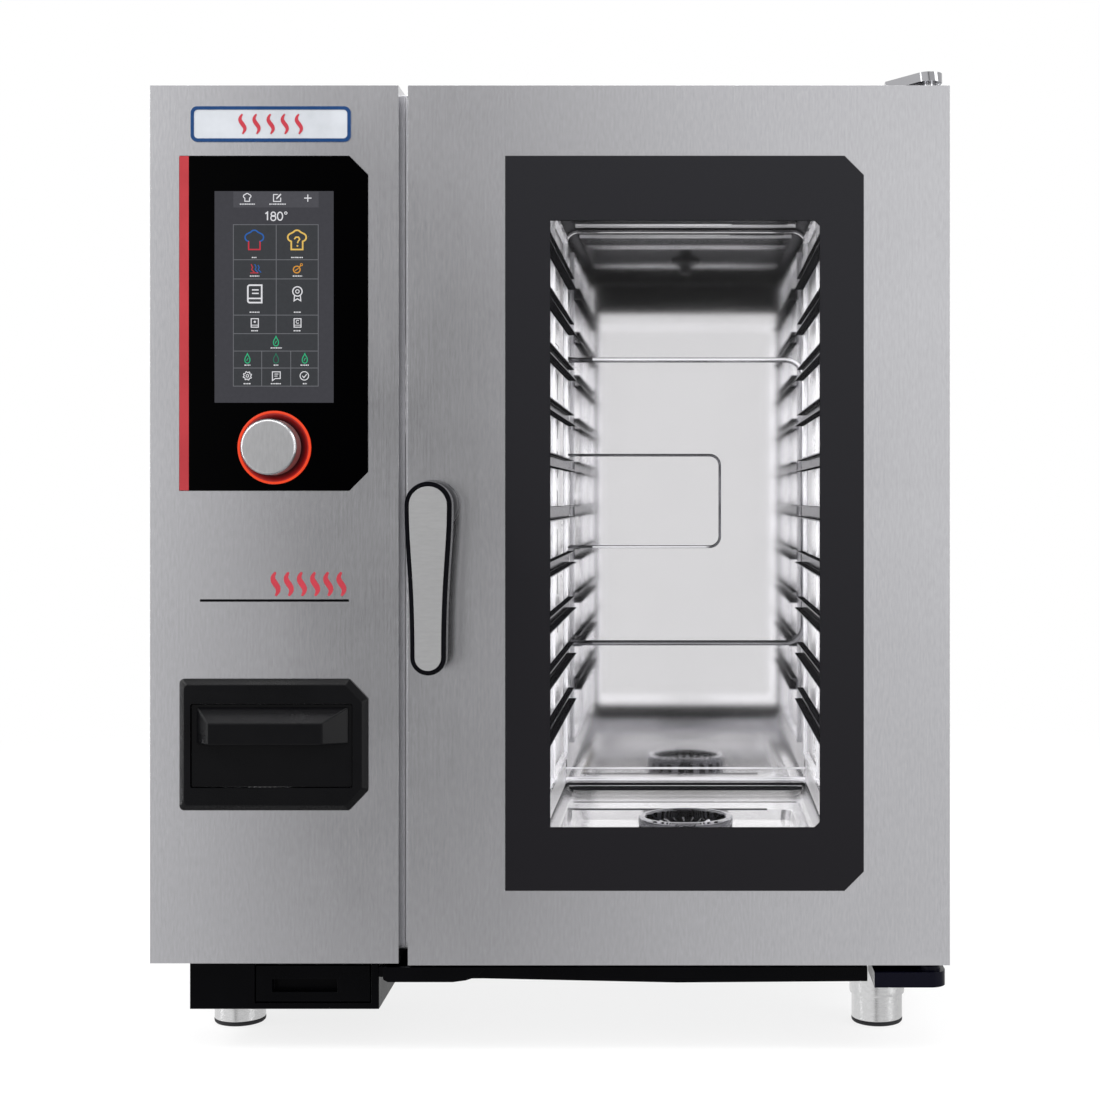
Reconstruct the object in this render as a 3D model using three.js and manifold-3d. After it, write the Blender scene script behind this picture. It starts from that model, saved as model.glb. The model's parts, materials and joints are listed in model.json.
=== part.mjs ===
// Ten-level countertop combi steamer oven for restaurant kitchens: a technical compartment with
// touch panel on the left, a GN 1/1 lengthwise cooking cavity behind a right-hinged glass door.
// Frame: millimetres, +Z up, +X to the right seen from the front, the front faces -Y.
// Origin: centre of the casing's footprint, on the floor under the feet.
import * as THREE from "three";
import { mergeVertices } from "three/addons/utils/BufferGeometryUtils.js";
import { ConvexGeometry } from "three/addons/geometries/ConvexGeometry.js";
import Module from "manifold-3d";

const wasm = await Module();
wasm.setup();

// ---------------------------------------------------------------- ranges
// A range is [low, high] along one axis.
const around = (centre, half) => [centre - half, centre + half];
const grow = ([low, high], by) => [low - by, high + by];
const middle = ([low, high]) => (low + high) / 2;

// ---------------------------------------------------------------- driving dimensions
const WIDTH = 850;
const LEFT = -WIDTH / 2;
const RIGHT = WIDTH / 2;
const FRONT = -400; // front plane of control fascia and door
const FRAME = -350; // front plane of the cabinet's door frame
const BACK = 400; // rear plane of the casing
const TOP = 1031; // top of the casing
const CASE_BOTTOM = 103; // underside of the casing walls
const SHEET = 2; // sheet-metal thickness
const FIT = 0.3; // gap left between neighbouring parts

const FASCIA = { right: -161, bottom: 98 };
const DOOR = { left: FASCIA.right + 10, bottom: 96, back: -359 }; // back: rear face of the pan
const PIVOT = { x: RIGHT - 20, y: -382 }; // door hinge axis

// cooking cavity, clear inside; its floor lies lower than the sill of its mouth
const CENTRE_X = 144; // centre plane of the cavity
const CAVITY = {
  x: around(CENTRE_X, 178),
  back: 357,
  sill: 186,
  floor: 164,
  ceiling: 985,
  corner: 22,
};
const WALL_X = CAVITY.x[0]; // left wall of the cavity
const SUMP = { x: [-26, 290], y: [-300, 190], bottom: 150, corner: 20 }; // tray in the floor
const DRAIN = { y: 60, pipeZ: 128, pipeRadius: 18 };
const VENT = { x: 250, y: 300, boreRadius: 26, pipeRadius: 28, flapZ: 1056 };
const WATER = { x: -300, z: 170 };

// rack rails for GN 1/1 pans; tip, web and upright are distances from the centre plane
const LEVELS = 10;
const PITCH = 65;
const RAIL = { bottom: 307, tip: 156, web: 168, gauge: 1.6, y: [-250, 290] };
const UPRIGHT = 171;

// fan chamber behind the left wall of the cavity
const FAN = { x: -100, y: 20, z: 585 };
const CHAMBER = { half: 220, left: -140 };

// glasses with their two right-hand corners cut off
const CHAMFER = 20;
const GLASS_TOP = 955.9;
const GLASS = { x: [-47.3, 333.1], z: [175.5, GLASS_TOP] }; // outer door glass
const PANEL = { x: [-393.7, -193.4], z: [600.5, GLASS_TOP] }; // control glass
const GLASS_GAP = 0.4; // between a glass and its opening
const SCREEN = { x: [-356.5, -229.5], z: [693.5, 918.8] };
const KNOB = { x: -292.7, z: 646.2, radius: 29.5, ringRadius: 38.9 };

// drawer in the fascia
const BEZEL = { x: [-393.1, -192.8], z: [261, 400.6] };
const DRAWER = { x: [-380.3, -208.6], z: [285.5, 374.6] };

// lever handle
const HUB = { x: -123, z: 585 };
const LEVER = { length: 158, front: FRONT - 50, face: 3 };

// air intake box and the slot in its front for the filter
const INTAKE = { x: [-388, -185], y: [-380, -170], z: [44, 97.7] };
const FILTER_SLOT = { x: [-318.5, -193.5], z: [50.5, 91.5] };

const FEET = {
  front_left: [-361, -264],
  front_right: [361, -264],
  rear_left: [-361, 330],
  rear_right: [361, 330],
};
const SLEEVE_RADIUS = 31;
const LEG_RADIUS = 28.5;

// ---------------------------------------------------------------- solids from three.js geometry
function manifoldFrom(positions, triangles) {
  return new wasm.Manifold(
    new wasm.Mesh({
      numProp: 3,
      vertProperties: new Float32Array(positions),
      triVerts: new Uint32Array(triangles),
    }),
  );
}
// Welds a geometry into a solid, drops collapsed triangles and turns it right side out.
function solid(geometry) {
  const flat = geometry.index ? geometry.toNonIndexed() : geometry;
  const bare = new THREE.BufferGeometry().setAttribute("position", flat.getAttribute("position"));
  const welded = mergeVertices(bare, 1e-4);
  const positions = welded.attributes.position.array;
  const index = welded.index.array;
  const triangles = [];
  for (let i = 0; i < index.length; i += 3) {
    const [first, second, third] = index.slice(i, i + 3);
    if (first !== second && second !== third && first !== third) {
      triangles.push(first, second, third);
    }
  }
  const result = manifoldFrom(positions, triangles);
  if (result.volume() >= 0) return result;
  for (let i = 0; i < triangles.length; i += 3) {
    [triangles[i + 1], triangles[i + 2]] = [triangles[i + 2], triangles[i + 1]];
  }
  return manifoldFrom(positions, triangles);
}
const length = ([low, high]) => high - low;
const box = (x, y, z) =>
  solid(
    new THREE.BoxGeometry(length(x), length(y), length(z)).translate(
      middle(x),
      middle(y),
      middle(z),
    ),
  );
const cylinder = (range, radius, sides) =>
  new THREE.CylinderGeometry(radius, radius, length(range), sides);
const rodX = (x, y, z, radius, sides = 24) =>
  solid(cylinder(x, radius, sides).rotateZ(Math.PI / 2).translate(middle(x), y, z));
const rodY = (x, y, z, radius, sides = 24) =>
  solid(cylinder(y, radius, sides).translate(x, middle(y), z));
const rodZ = (x, y, z, radius, sides = 24) =>
  solid(cylinder(z, radius, sides).rotateX(Math.PI / 2).translate(x, y, middle(z)));

const polygon = (points) => {
  const shape = new THREE.Shape();
  points.forEach(([x, y], i) => (i ? shape.lineTo(x, y) : shape.moveTo(x, y)));
  shape.closePath();
  return shape;
};
const extrude = (shape, range, curveSegments) =>
  new THREE.ExtrudeGeometry(shape, { depth: length(range), bevelEnabled: false, curveSegments });
// shape drawn in X and Z about the handle's hub, extruded along Y
const hubPlate = (shape, y, curveSegments) =>
  solid(extrude(shape, y, curveSegments).rotateX(Math.PI / 2).translate(HUB.x, y[1], HUB.z));
// outline in X and Z, extruded along Y
const plateXZ = (outline, y) =>
  solid(extrude(polygon(outline), y).rotateX(Math.PI / 2).translate(0, y[1], 0));
// outline in X and Y, extruded along Z
const plateXY = (outline, z) => solid(extrude(polygon(outline), z).translate(0, 0, z[0]));
// outline in Y and Z, extruded along X
const TO_YZ = new THREE.Matrix4().makeBasis(
  new THREE.Vector3(0, 1, 0),
  new THREE.Vector3(0, 0, 1),
  new THREE.Vector3(1, 0, 0),
);
const plateYZ = (outline, x) =>
  solid(extrude(polygon(outline), x).applyMatrix4(TO_YZ).translate(x[0], 0, 0));

const lathe = (profile, sides) =>
  new THREE.LatheGeometry(profile.map(([radius, along]) => new THREE.Vector2(radius, along)), sides);
// turned about a vertical axis: profile [radius, z]
const turnZ = (x, y, profile, sides) =>
  solid(lathe(profile, sides).rotateX(Math.PI / 2).translate(x, y, 0));
// turned about an axis along Y: profile [radius, y]
const turnY = (x, z, profile, sides) => solid(lathe(profile, sides).translate(x, 0, z));

const repeat = (count, make) => Array.from({ length: count }, (_, i) => make(i));
const turnAngle = (i, count) => (i / count) * 2 * Math.PI;
const toVectors = (points) => points.map((point) => new THREE.Vector3(...point));
const wire = (points, radius, steps, sides) => {
  const section = repeat(sides, (i) => {
    const angle = turnAngle(i, sides);
    return [radius * Math.cos(angle), radius * Math.sin(angle)];
  });
  const extrudePath = new THREE.CatmullRomCurve3(toVectors(points), false, "catmullrom", 0.05);
  const options = { steps, extrudePath, bevelEnabled: false };
  return solid(new THREE.ExtrudeGeometry(polygon(section), options));
};
const hull = (points) => solid(new ConvexGeometry(toVectors(points)));
// block between two rectangles { x, y, z } that face along Y
const taper = (...ends) =>
  hull(
    ends.flatMap(({ x, y, z }) => [
      [x[0], y, z[0]],
      [x[1], y, z[0]],
      [x[1], y, z[1]],
      [x[0], y, z[1]],
    ]),
  );
const join = (...parts) => parts.reduce((whole, part) => whole.add(part));
const cut = (body, ...tools) => tools.reduce((rest, tool) => rest.subtract(tool), body);

const shifted = (x, y, z) => new THREE.Matrix4().makeTranslation(x, y, z);
const turnedX = (angle) => new THREE.Matrix4().makeRotationX(angle);
const turnedZ = (angle) => new THREE.Matrix4().makeRotationZ(angle);

// ---------------------------------------------------------------- outlines
// arc from one angle to another, in degrees
const arc = ({ x, y, radius, from, to, steps }) =>
  repeat(steps + 1, (i) => {
    const angle = ((from + ((to - from) * i) / steps) * Math.PI) / 180;
    return [x + radius * Math.cos(angle), y + radius * Math.sin(angle)];
  });
// rectangle with rounded corners, starting at the lower right one
const rounded = ([left, right], [low, high], radius, steps) => {
  const corner = (x, y, start) =>
    repeat(steps + 1, (i) => {
      const angle = start + ((Math.PI / 2) * i) / steps;
      return [x + radius * Math.cos(angle), y + radius * Math.sin(angle)];
    });
  return [
    ...corner(right - radius, low + radius, -Math.PI / 2),
    ...corner(right - radius, high - radius, 0),
    ...corner(left + radius, high - radius, Math.PI / 2),
    ...corner(left + radius, low + radius, Math.PI),
  ];
};
const roundedBy = (by, across, up, radius) =>
  rounded(grow(across, by), grow(up, by), radius + by, 5);
const mouth = () => roundedBy(0, CAVITY.x, [CAVITY.sill, CAVITY.ceiling], CAVITY.corner);
const bore = (by) => roundedBy(by, CAVITY.x, [CAVITY.floor, CAVITY.ceiling], CAVITY.corner);
const sump = (by) => roundedBy(by, SUMP.x, SUMP.y, SUMP.corner);
// rectangle whose two right-hand corners are cut off at 45 degrees, offset outwards by `by`
const clipped = ({ x: [left, right], z: [bottom, top] }, by = 0) => {
  const shift = by * 0.4142; // keeps the sloping edges at the same offset
  return [
    [left - by, bottom - by],
    [right - CHAMFER + shift, bottom - by],
    [right + by, bottom + CHAMFER - shift],
    [right + by, top - CHAMFER + shift],
    [right - CHAMFER + shift, top + by],
    [left - by, top + by],
  ];
};

// ---------------------------------------------------------------- materials
const metal = ({ color, roughness }) =>
  new THREE.MeshStandardMaterial({ color, roughness, metalness: 0.95 });
const matt = ({ color, roughness }) =>
  new THREE.MeshStandardMaterial({ color, roughness, metalness: 0 });
const BRUSHED = metal({ color: 0x9b9a9d, roughness: 0.35 });
const POLISHED = metal({ color: 0xb9b8bb, roughness: 0.12 });
const GALVANISED = metal({ color: 0x8d9092, roughness: 0.5 });
const DARK_STEEL = metal({ color: 0x2a2a2c, roughness: 0.4 });
const BRASS = metal({ color: 0xb08d4a, roughness: 0.35 });
const BLACK = matt({ color: 0x141415, roughness: 0.4 });
const GLOSS_BLACK = matt({ color: 0x020202, roughness: 0.08 });
const RUBBER = matt({ color: 0x101011, roughness: 0.8 });
const SILICONE = matt({ color: 0x1b1b1d, roughness: 0.7 });
const SCREEN_GREY = matt({ color: 0x38383e, roughness: 0.15 });
const LIGHT = matt({ color: 0xff3a16, roughness: 0.3 });
const WOOL = matt({ color: 0xc9b98f, roughness: 0.95 });
const PANE = new THREE.MeshStandardMaterial({
  color: 0xdfe8ea,
  roughness: 0.02,
  transparent: true,
  opacity: 0.3,
});

// ---------------------------------------------------------------- chassis and casing
// welded ring of box section with two cross members and pads the feet screw into
function baseFrame() {
  const beam = 40;
  const x = [-419, 419];
  const y = [-318, 392];
  const z = [CASE_BOTTOM, 133];
  const memberY = [-300, 370];
  return join(
    cut(
      box(x, y, z),
      box(grow(x, -beam), grow(y, -beam), grow(z, 5)),
      rodY(CENTRE_X, [340, 400], DRAIN.pipeZ, DRAIN.pipeRadius + 2),
    ),
    box([-130, -100], memberY, grow(z, -1)),
    box([300, 330], memberY, grow(z, -1)),
    ...Object.values(FEET).map(([footX, footY]) =>
      box(around(footX, 36), around(footY, 36), [CASE_BOTTOM + 0.5, CASE_BOTTOM + 8]),
    ),
  );
}
// plate with clearance holes for the feet
function bottomPlate() {
  const inset = 4;
  return cut(
    box(
      [LEFT + inset, RIGHT - inset],
      [FRAME + inset, BACK - inset],
      [CASE_BOTTOM - SHEET, CASE_BOTTOM],
    ),
    ...Object.values(FEET).map(([x, y]) =>
      rodZ(x, y, around(CASE_BOTTOM, 6), SLEEVE_RADIUS + 1.5),
    ),
  );
}
// side wall with its rear edge folded in; inward is +1 for the left wall, -1 for the right
function sidePanel(outer, inward, front) {
  const inner = outer + inward * SHEET;
  const lip = outer + inward * 14;
  const outline = [
    [outer, front],
    [inner, front],
    [inner, BACK - 2 * SHEET],
    [lip, BACK - 2 * SHEET],
    [lip, BACK - SHEET],
    [outer, BACK - SHEET],
  ];
  return plateXY(outline, [CASE_BOTTOM, TOP - SHEET]);
}
// left wall, with cooling slots near the bottom
function leftSidePanel() {
  const slots = repeat(9, (i) =>
    box([LEFT - 1, LEFT + 5], [40 + i * 30, 62 + i * 30], [190, 250]),
  );
  return cut(sidePanel(LEFT, 1, FRAME + FIT), ...slots);
}
// top sheet, with a hole for the vent pipe and a notch over the fascia
function topPanel() {
  return cut(
    box([LEFT, RIGHT], [FRAME + SHEET, BACK - SHEET], [TOP - SHEET, TOP]),
    rodZ(VENT.x, VENT.y, around(TOP, 8), VENT.pipeRadius + 1),
    box([LEFT - 1, FASCIA.right - SHEET], [FRAME, FRAME + SHEET + FIT], around(TOP, 5)),
  );
}
// rear sheet, with holes for drain and water and a stack of slots
function rearPanel() {
  const slots = repeat(8, (i) =>
    box([-380, -240], [BACK - 6, BACK + 2], [640 + i * 24, 652 + i * 24]),
  );
  return cut(
    box([LEFT, RIGHT], [BACK - SHEET, BACK], [CASE_BOTTOM, TOP]),
    rodY(CENTRE_X, around(BACK, 6), DRAIN.pipeZ, DRAIN.pipeRadius + 2),
    rodY(WATER.x, around(BACK, 6), WATER.z, 11, 16),
    ...slots,
  );
}
// frame the door closes on, folded back at its left edge, with the mouth of the cavity
function frontFrame() {
  const left = FASCIA.right + FIT;
  const outline = [
    [left, FRAME],
    [RIGHT, FRAME],
    [RIGHT, FRAME + SHEET],
    [left + SHEET, FRAME + SHEET],
    [left + SHEET, FRAME + 30],
    [left, FRAME + 30],
  ];
  return cut(
    plateXY(outline, [CASE_BOTTOM, TOP]),
    box([LEFT, 0], [FRAME + SHEET, FRAME + 60], [TOP - SHEET, TOP + 5]),
    plateXZ(mouth(), [FRAME - 5, FRAME + 10]),
  );
}

// ---------------------------------------------------------------- cavity
// liner with the fan chamber in its left wall and the drain tray pressed into its floor
function cavityLiner() {
  const chamber = (x, by) =>
    box(x, around(FAN.y, CHAMBER.half + by), around(FAN.z, CHAMBER.half + by));
  return cut(
    join(
      plateXZ(bore(SHEET), [FRAME + SHEET, CAVITY.back + SHEET]),
      plateXY(sump(SHEET), [SUMP.bottom - SHEET, CAVITY.floor]),
      chamber([CHAMBER.left - SHEET, WALL_X], SHEET),
    ),
    plateXZ(bore(0), [FRAME - 5, CAVITY.back]),
    plateXY(sump(0), [SUMP.bottom, CAVITY.floor + 1]),
    chamber([CHAMBER.left, WALL_X + 5], 0),
    rodX(around(CHAMBER.left, 6), FAN.y, FAN.z, 14, 16),
    rodZ(CENTRE_X, DRAIN.y, around(SUMP.bottom, 8), 38),
    rodZ(VENT.x, VENT.y, around(CAVITY.ceiling, 8), VENT.boreRadius),
  );
}
// mineral wool round the liner
function insulationJacket() {
  const gap = 1.5;
  const chamberHalf = CHAMBER.half + 4;
  return cut(
    box([WALL_X - 30, 366], [FRAME + 6, 394], [140, 1026]),
    plateXZ(bore(SHEET + gap), [FRAME - 5, CAVITY.back + SHEET + gap]),
    plateXY(sump(SHEET + gap), [SUMP.bottom - SHEET - gap, CAVITY.floor]),
    box([-200, WALL_X + 5], around(FAN.y, chamberHalf), around(FAN.z, chamberHalf)),
    rodZ(CENTRE_X, DRAIN.y, [100, 200], 46),
    rodY(CENTRE_X, [DRAIN.y, 420], DRAIN.pipeZ, DRAIN.pipeRadius + 6, 20),
    rodZ(VENT.x, VENT.y, [960, 1050], VENT.pipeRadius + 3, 20),
  );
}
const aboutFan = (angle) => shifted(0, FAN.y, FAN.z).multiply(turnedX(angle));
// sheet over the fan chamber: centre intake grille, slots at the edges for the hot air
function fanBaffle() {
  const through = around(WALL_X, 8);
  const intake = repeat(16, (i) =>
    box(through, [-5, 5], [42, 108]).transform(aboutFan(turnAngle(i, 16)).elements),
  );
  const edgeSlots = repeat(7, (i) => {
    const bottom = FAN.z - 180 + i * 54;
    return [-208, 194].map((start) =>
      box(through, [FAN.y + start, FAN.y + start + 14], [bottom, bottom + 36]),
    );
  });
  const half = CHAMBER.half - 0.5;
  return cut(
    plateYZ(rounded(around(FAN.y, half), around(FAN.z, half), 6, 3), [WALL_X - SHEET, WALL_X - FIT]),
    ...intake,
    ...edgeSlots.flat(),
  );
}
const fanRod = (x, radius, sides) => rodX(x, FAN.y, FAN.z, radius, sides);
// circulation fan on an axis along X
function fanWheel() {
  const wheelRadius = 162;
  const bladeRadius = 132; // from the axis to the middle of a blade
  const bladePitch = 0.45; // radians
  const blades = repeat(14, (i) => {
    const placement = aboutFan(turnAngle(i, 14))
      .multiply(shifted(0, 0, bladeRadius))
      .multiply(turnedX(bladePitch));
    return box([-118, -56], [-1.5, 1.5], [-26, 26]).transform(placement.elements);
  });
  const disc = fanRod([-121, -117], wheelRadius, 30);
  const ring = cut(fanRod([-58, -55], wheelRadius, 30), fanRod([-70, -50], 112, 30));
  const shaft = fanRod([-158, -82], 9, 14);
  const hub = fanRod([-118, -96], 26, 16);
  return join(disc, ring, ...blades, shaft, hub);
}
// motor body, flange and a box on top, bored for the fan shaft
function fanMotor() {
  return cut(
    join(
      fanRod([-290, -160], 64, 24),
      fanRod([-162, -147], 78, 24),
      box([-270, -200], around(FAN.y, 30), [FAN.z + 50, FAN.z + 90]),
    ),
    fanRod([-160, -140], 10, 14),
  );
}
// tube coiled round the fan
function heatingElement() {
  const turns = 2.9;
  const intervals = 66;
  const coilRadius = 190;
  const startX = -116;
  const advance = 52; // total travel along X
  const points = repeat(intervals + 1, (i) => {
    const angle = (i / intervals) * turns * 2 * Math.PI;
    return [
      startX + advance * (i / intervals),
      FAN.y + coilRadius * Math.sin(angle),
      FAN.z + coilRadius * Math.cos(angle),
    ];
  });
  return wire(points, 4, 60, 5);
}

// ---------------------------------------------------------------- pan racks
// three uprights, two end bars and ten channel rails; side is -1 for left, +1 for right
function rack(side) {
  const { tip, web, gauge } = RAIL;
  const out = (offset) => CENTRE_X + side * offset;
  // rail section: distance from the centre plane, height above the rail's datum
  const section = [
    [tip, -2],
    [web, -2],
    [web, 15],
    [tip + 3, 15],
    [tip + 3, 13.4],
    [web - gauge, 13.4],
    [web - gauge, -0.4],
    [tip, -0.4],
  ];
  const rails = repeat(LEVELS, (i) => {
    const datum = RAIL.bottom + i * PITCH;
    return plateXZ(section.map(([offset, height]) => [out(offset), datum + height]), RAIL.y);
  });
  const uprights = [-235, 20, 278].map((y) => rodZ(out(UPRIGHT), y, [226, 961], 3.6, 6));
  const bars = [225, 955].map((z) => box(around(out(UPRIGHT), 3.8), [-240, 283], [z, z + 7]));
  return [...rails, ...uprights, ...bars];
}
// Wire stops in front of the rear wall: x from the centre plane, y, z
const WIDE_STOP = [
  [-171, 278, 794.5], [-171, 326, 794.5], [-167, 338, 794.5], [-155, 345, 794.5],
  [0, 345, 794.5], [136, 345, 794.5], [156, 345, 792.5], [168, 345, 783],
  [172, 345, 766], [172, 345, 590], [172, 345, 409], [168, 345, 392],
  [156, 345, 382.5], [136, 345, 380.5], [0, 345, 380.5], [-155, 345, 380.5],
  [-167, 338, 380.5], [-171, 326, 380.5], [-171, 278, 380.5],
];
const NARROW_STOP = [
  [-171, 278, 655.3], [-171, 325, 655.3], [-167, 337, 655.3], [-155, 344, 655.3],
  [-40, 344, 655.3], [34, 344, 655.3], [46, 344, 651.3], [50, 344, 639.3],
  [50, 344, 588], [50, 344, 537.2], [46, 344, 525.2], [34, 344, 521.2],
  [-40, 344, 521.2], [-155, 344, 521.2], [-167, 337, 521.2], [-171, 325, 521.2],
  [-171, 278, 521.2],
];
const fromCentre = (points) => points.map(([x, y, z]) => [CENTRE_X + x, y, z]);
// left rack, which carries both pan stops
function rackLeft() {
  return join(
    ...rack(-1),
    wire(fromCentre(WIDE_STOP), 2.8, 44, 5),
    wire(fromCentre(NARROW_STOP), 1.7, 38, 4),
  );
}

// ---------------------------------------------------------------- drain, spray head, door seal
// slotted cup standing in the sump
function drainStrainer() {
  // radius, height above the sump
  const profile = [
    [0, 15], [30, 16], [50, 22], [55, 28.5], [59.5, 28.5], [62, 25],
    [62, 0.3], [59, 0.3], [59, 19], [48, 16], [0, 11],
  ];
  const slots = repeat(12, (i) => {
    const placement = shifted(CENTRE_X, DRAIN.y, 0).multiply(turnedZ(turnAngle(i, 12)));
    const slot = box([50, 67], [-5, 5], [SUMP.bottom + 4, SUMP.bottom + 17]);
    return slot.transform(placement.elements);
  });
  const raised = profile.map(([radius, height]) => [radius, SUMP.bottom + height]);
  return cut(turnZ(CENTRE_X, DRAIN.y, raised, 24), ...slots);
}
// pot under the sump with an outlet pipe to the rear
function drainPipe() {
  const { y, pipeZ, pipeRadius } = DRAIN;
  return cut(
    join(
      rodZ(CENTRE_X, y, [106, SUMP.bottom - SHEET - FIT], 44, 28),
      rodY(CENTRE_X, [y + 20, 450], pipeZ, pipeRadius),
    ),
    rodZ(CENTRE_X, y, [109, SUMP.bottom + 4], 41, 28),
    rodY(CENTRE_X, [y, 456], pipeZ, pipeRadius - 2.5),
  );
}
// cleaning spray head under the ceiling
function sprayHead() {
  const top = CAVITY.ceiling - FIT;
  const profile = [
    [0, 962], [7, 963], [10, 968], [9, 974], [16, 977], [24, 980], [24, top], [0, top],
  ];
  return turnZ(CENTRE_X, 0, profile, 24);
}
// stepped seal round the mouth
function doorGasket() {
  const step = -353.5; // where the wide base meets the lip
  return cut(
    join(
      plateXZ(rounded([-54, 342], [166, 1005], 36, 5), [step, FRAME]),
      plateXZ(rounded([-51, 339], [169, 1002], 34, 5), [DOOR.back + FIT, step]),
    ),
    plateXZ(rounded([-44.5, 332.5], [175.5, 995.5], 29, 5), [-365, step]),
    plateXZ(rounded([-38, 326], [182, 989], 26, 5), [-365, -345]),
  );
}

// ---------------------------------------------------------------- technical compartment
// tank with a lid and two stubs on top
function steamGenerator() {
  const x = [-395, -195];
  const y = [70, 330];
  const lidZ = [430, 438];
  return join(
    plateXY(rounded(x, y, 30, 4), [134, lidZ[0]]),
    plateXY(rounded(grow(x, 10), grow(y, 10), 34, 4), lidZ),
    rodZ(-260, 200, [436, 500], 18, 16),
    rodZ(-340, 260, [436, 462], 12, 12),
  );
}
const controlBoardCase = () => box([-378, -200], [-382, -352], [612, 942]);

// ---------------------------------------------------------------- control fascia
// folded tray, open to the rear, with openings for the control glass and the drawer
function controlFascia() {
  const { right, bottom } = FASCIA;
  return cut(
    box([LEFT, right], [FRONT, FRAME + SHEET], [bottom, TOP]),
    box([LEFT + SHEET, right - SHEET], [FRONT + SHEET, FRAME + 5], [bottom + SHEET, TOP - SHEET]),
    box([LEFT - 1, right - SHEET], [FRAME, FRAME + 5], [bottom - 1, TOP - 20]),
    plateXZ(clipped(PANEL, GLASS_GAP), around(FRONT, 5)),
    box(grow(DRAWER.x, 3.5), around(FRONT, 5), grow(DRAWER.z, 3.5)),
    // makes room for the left wall
    box([LEFT - 1, LEFT + SHEET + 0.2], [FRAME - FIT, FRAME + 5], [0, TOP - SHEET]),
  );
}
const PANEL_Y = [FRONT - 0.8, FRONT + 4];
function controlGlass() {
  const through = [FRONT - 5, FRONT + 8];
  return cut(
    plateXZ(clipped(PANEL), PANEL_Y),
    box(SCREEN.x, through, SCREEN.z),
    rodY(KNOB.x, through, KNOB.z, KNOB.ringRadius + 0.6, 28),
  );
}
const displayScreen = () => box(grow(SCREEN.x, -FIT), PANEL_Y, grow(SCREEN.z, -FIT));
function knobLightRing() {
  const rim = KNOB.ringRadius;
  const profile = [
    [6.4, -393], [rim, -393], [rim, -401.6], [rim - 1.2, -402.4], [rim - 3.2, -401.8],
    [rim - 3.6, -400.2], [24, -397.4], [6.4, -397.4], [6.4, -393],
  ];
  return turnY(KNOB.x, KNOB.z, profile, 28);
}
function encoderPlunger() {
  const profile = [
    [0, -388], [9, -388], [9, -390.6], [5.6, -390.6], [5.6, -414], [0, -414],
  ];
  return turnY(KNOB.x, KNOB.z, profile, 24);
}
function knobCap() {
  const rim = KNOB.radius;
  const profile = [
    [0, -414.6], [5.9, -414.6], [5.9, -406], [9, -406], [9, -410], [26, -410],
    [26, -404.6], [rim, -404.6], [rim, -429.6], [rim - 1.8, -432], [0, -432],
  ];
  return turnY(KNOB.x, KNOB.z, profile, 28);
}

// ---------------------------------------------------------------- cleaning-cartridge drawer
// bezel that slopes from a wide rim at the fascia to a smaller front face
function drawerBezel() {
  const [left, right] = BEZEL.x;
  const [bottom, top] = BEZEL.z;
  const rim = [
    [left + 3, bottom],
    [right - CHAMFER, bottom],
    [right, bottom + CHAMFER],
    [right, top - CHAMFER],
    [right - CHAMFER, top],
    [left + 3, top],
    [left, top - 3],
    [left, bottom + 3],
  ];
  const face = [
    [left + 7, bottom + 4],
    [right - 21.7, bottom + 4],
    [right - 6, bottom + 21.7],
    [right - 6, top - 22.5],
    [right - 22.5, top - 6],
    [left + 7, top - 6],
    [left + 4, top - 9],
    [left + 4, bottom + 7],
  ];
  const atY = (outline, y) => outline.map(([x, z]) => [x, y, z]);
  return cut(
    join(
      plateXZ(rim, [FRONT - 2.2, FRONT - 0.1]),
      hull([...atY(rim, FRONT - 2), ...atY(face, FRONT - 8)]),
      box(grow(DRAWER.x, 3), [FRONT - 3, FRONT + 8], grow(DRAWER.z, 3)),
    ),
    box(DRAWER.x, around(FRONT, 20), DRAWER.z),
  );
}
function drawerHousing() {
  return cut(
    box(grow(DRAWER.x, 1), [FRONT + 8.3, -176], grow(DRAWER.z, 1)),
    box(grow(DRAWER.x, -1), [FRONT + 5, -178], grow(DRAWER.z, -1)),
  );
}
// plate with a wedge-shaped pull: sloping top and ends, hollowed from below for the fingers
function drawerFront() {
  const gap = 0.9;
  const plate = box(grow(DRAWER.x, -gap), [FRONT - 5.5, FRONT], grow(DRAWER.z, -gap));
  const gripBack = FRONT - 5.6;
  const gripFront = FRONT - 27;
  const grip = taper(
    { x: [-374.5, -212.4], y: gripBack + 0.5, z: [332, 371.3] },
    { x: [-351, -233.5], y: gripFront, z: [334, 357.8] },
  );
  const hollow = taper(
    { x: [-364, -223], y: gripBack - 0.4, z: [325, 360] },
    { x: [-347, -237.5], y: gripFront + 3, z: [325, 352] },
  );
  return join(plate, cut(grip, hollow));
}
function drawerTray() {
  const { x, z } = DRAWER;
  return cut(
    box(grow(x, -3), [FRONT + 0.1, -186], [z[0] + 3, z[1] - 14]),
    box(grow(x, -5.5), [FRONT + 3, -188.5], [z[0] + 5.5, z[1]]),
  );
}

// ---------------------------------------------------------------- cooling-air intake
// box under the technical compartment, hollowed for the filter and cleared round a foot
function airIntakeBox() {
  const { x, y, z } = INTAKE;
  const [footX, footY] = FEET.front_left;
  return cut(
    join(box(x, y, z), box(grow(x, -20), [-340, y[1]], [z[1] - 1, CASE_BOTTOM - SHEET])),
    rodZ(footX, footY, [z[0] - 5, CASE_BOTTOM + 5], SLEEVE_RADIUS + 4, 28),
    box(FILTER_SLOT.x, [y[0] - 5, -188], FILTER_SLOT.z),
  );
}
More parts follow.
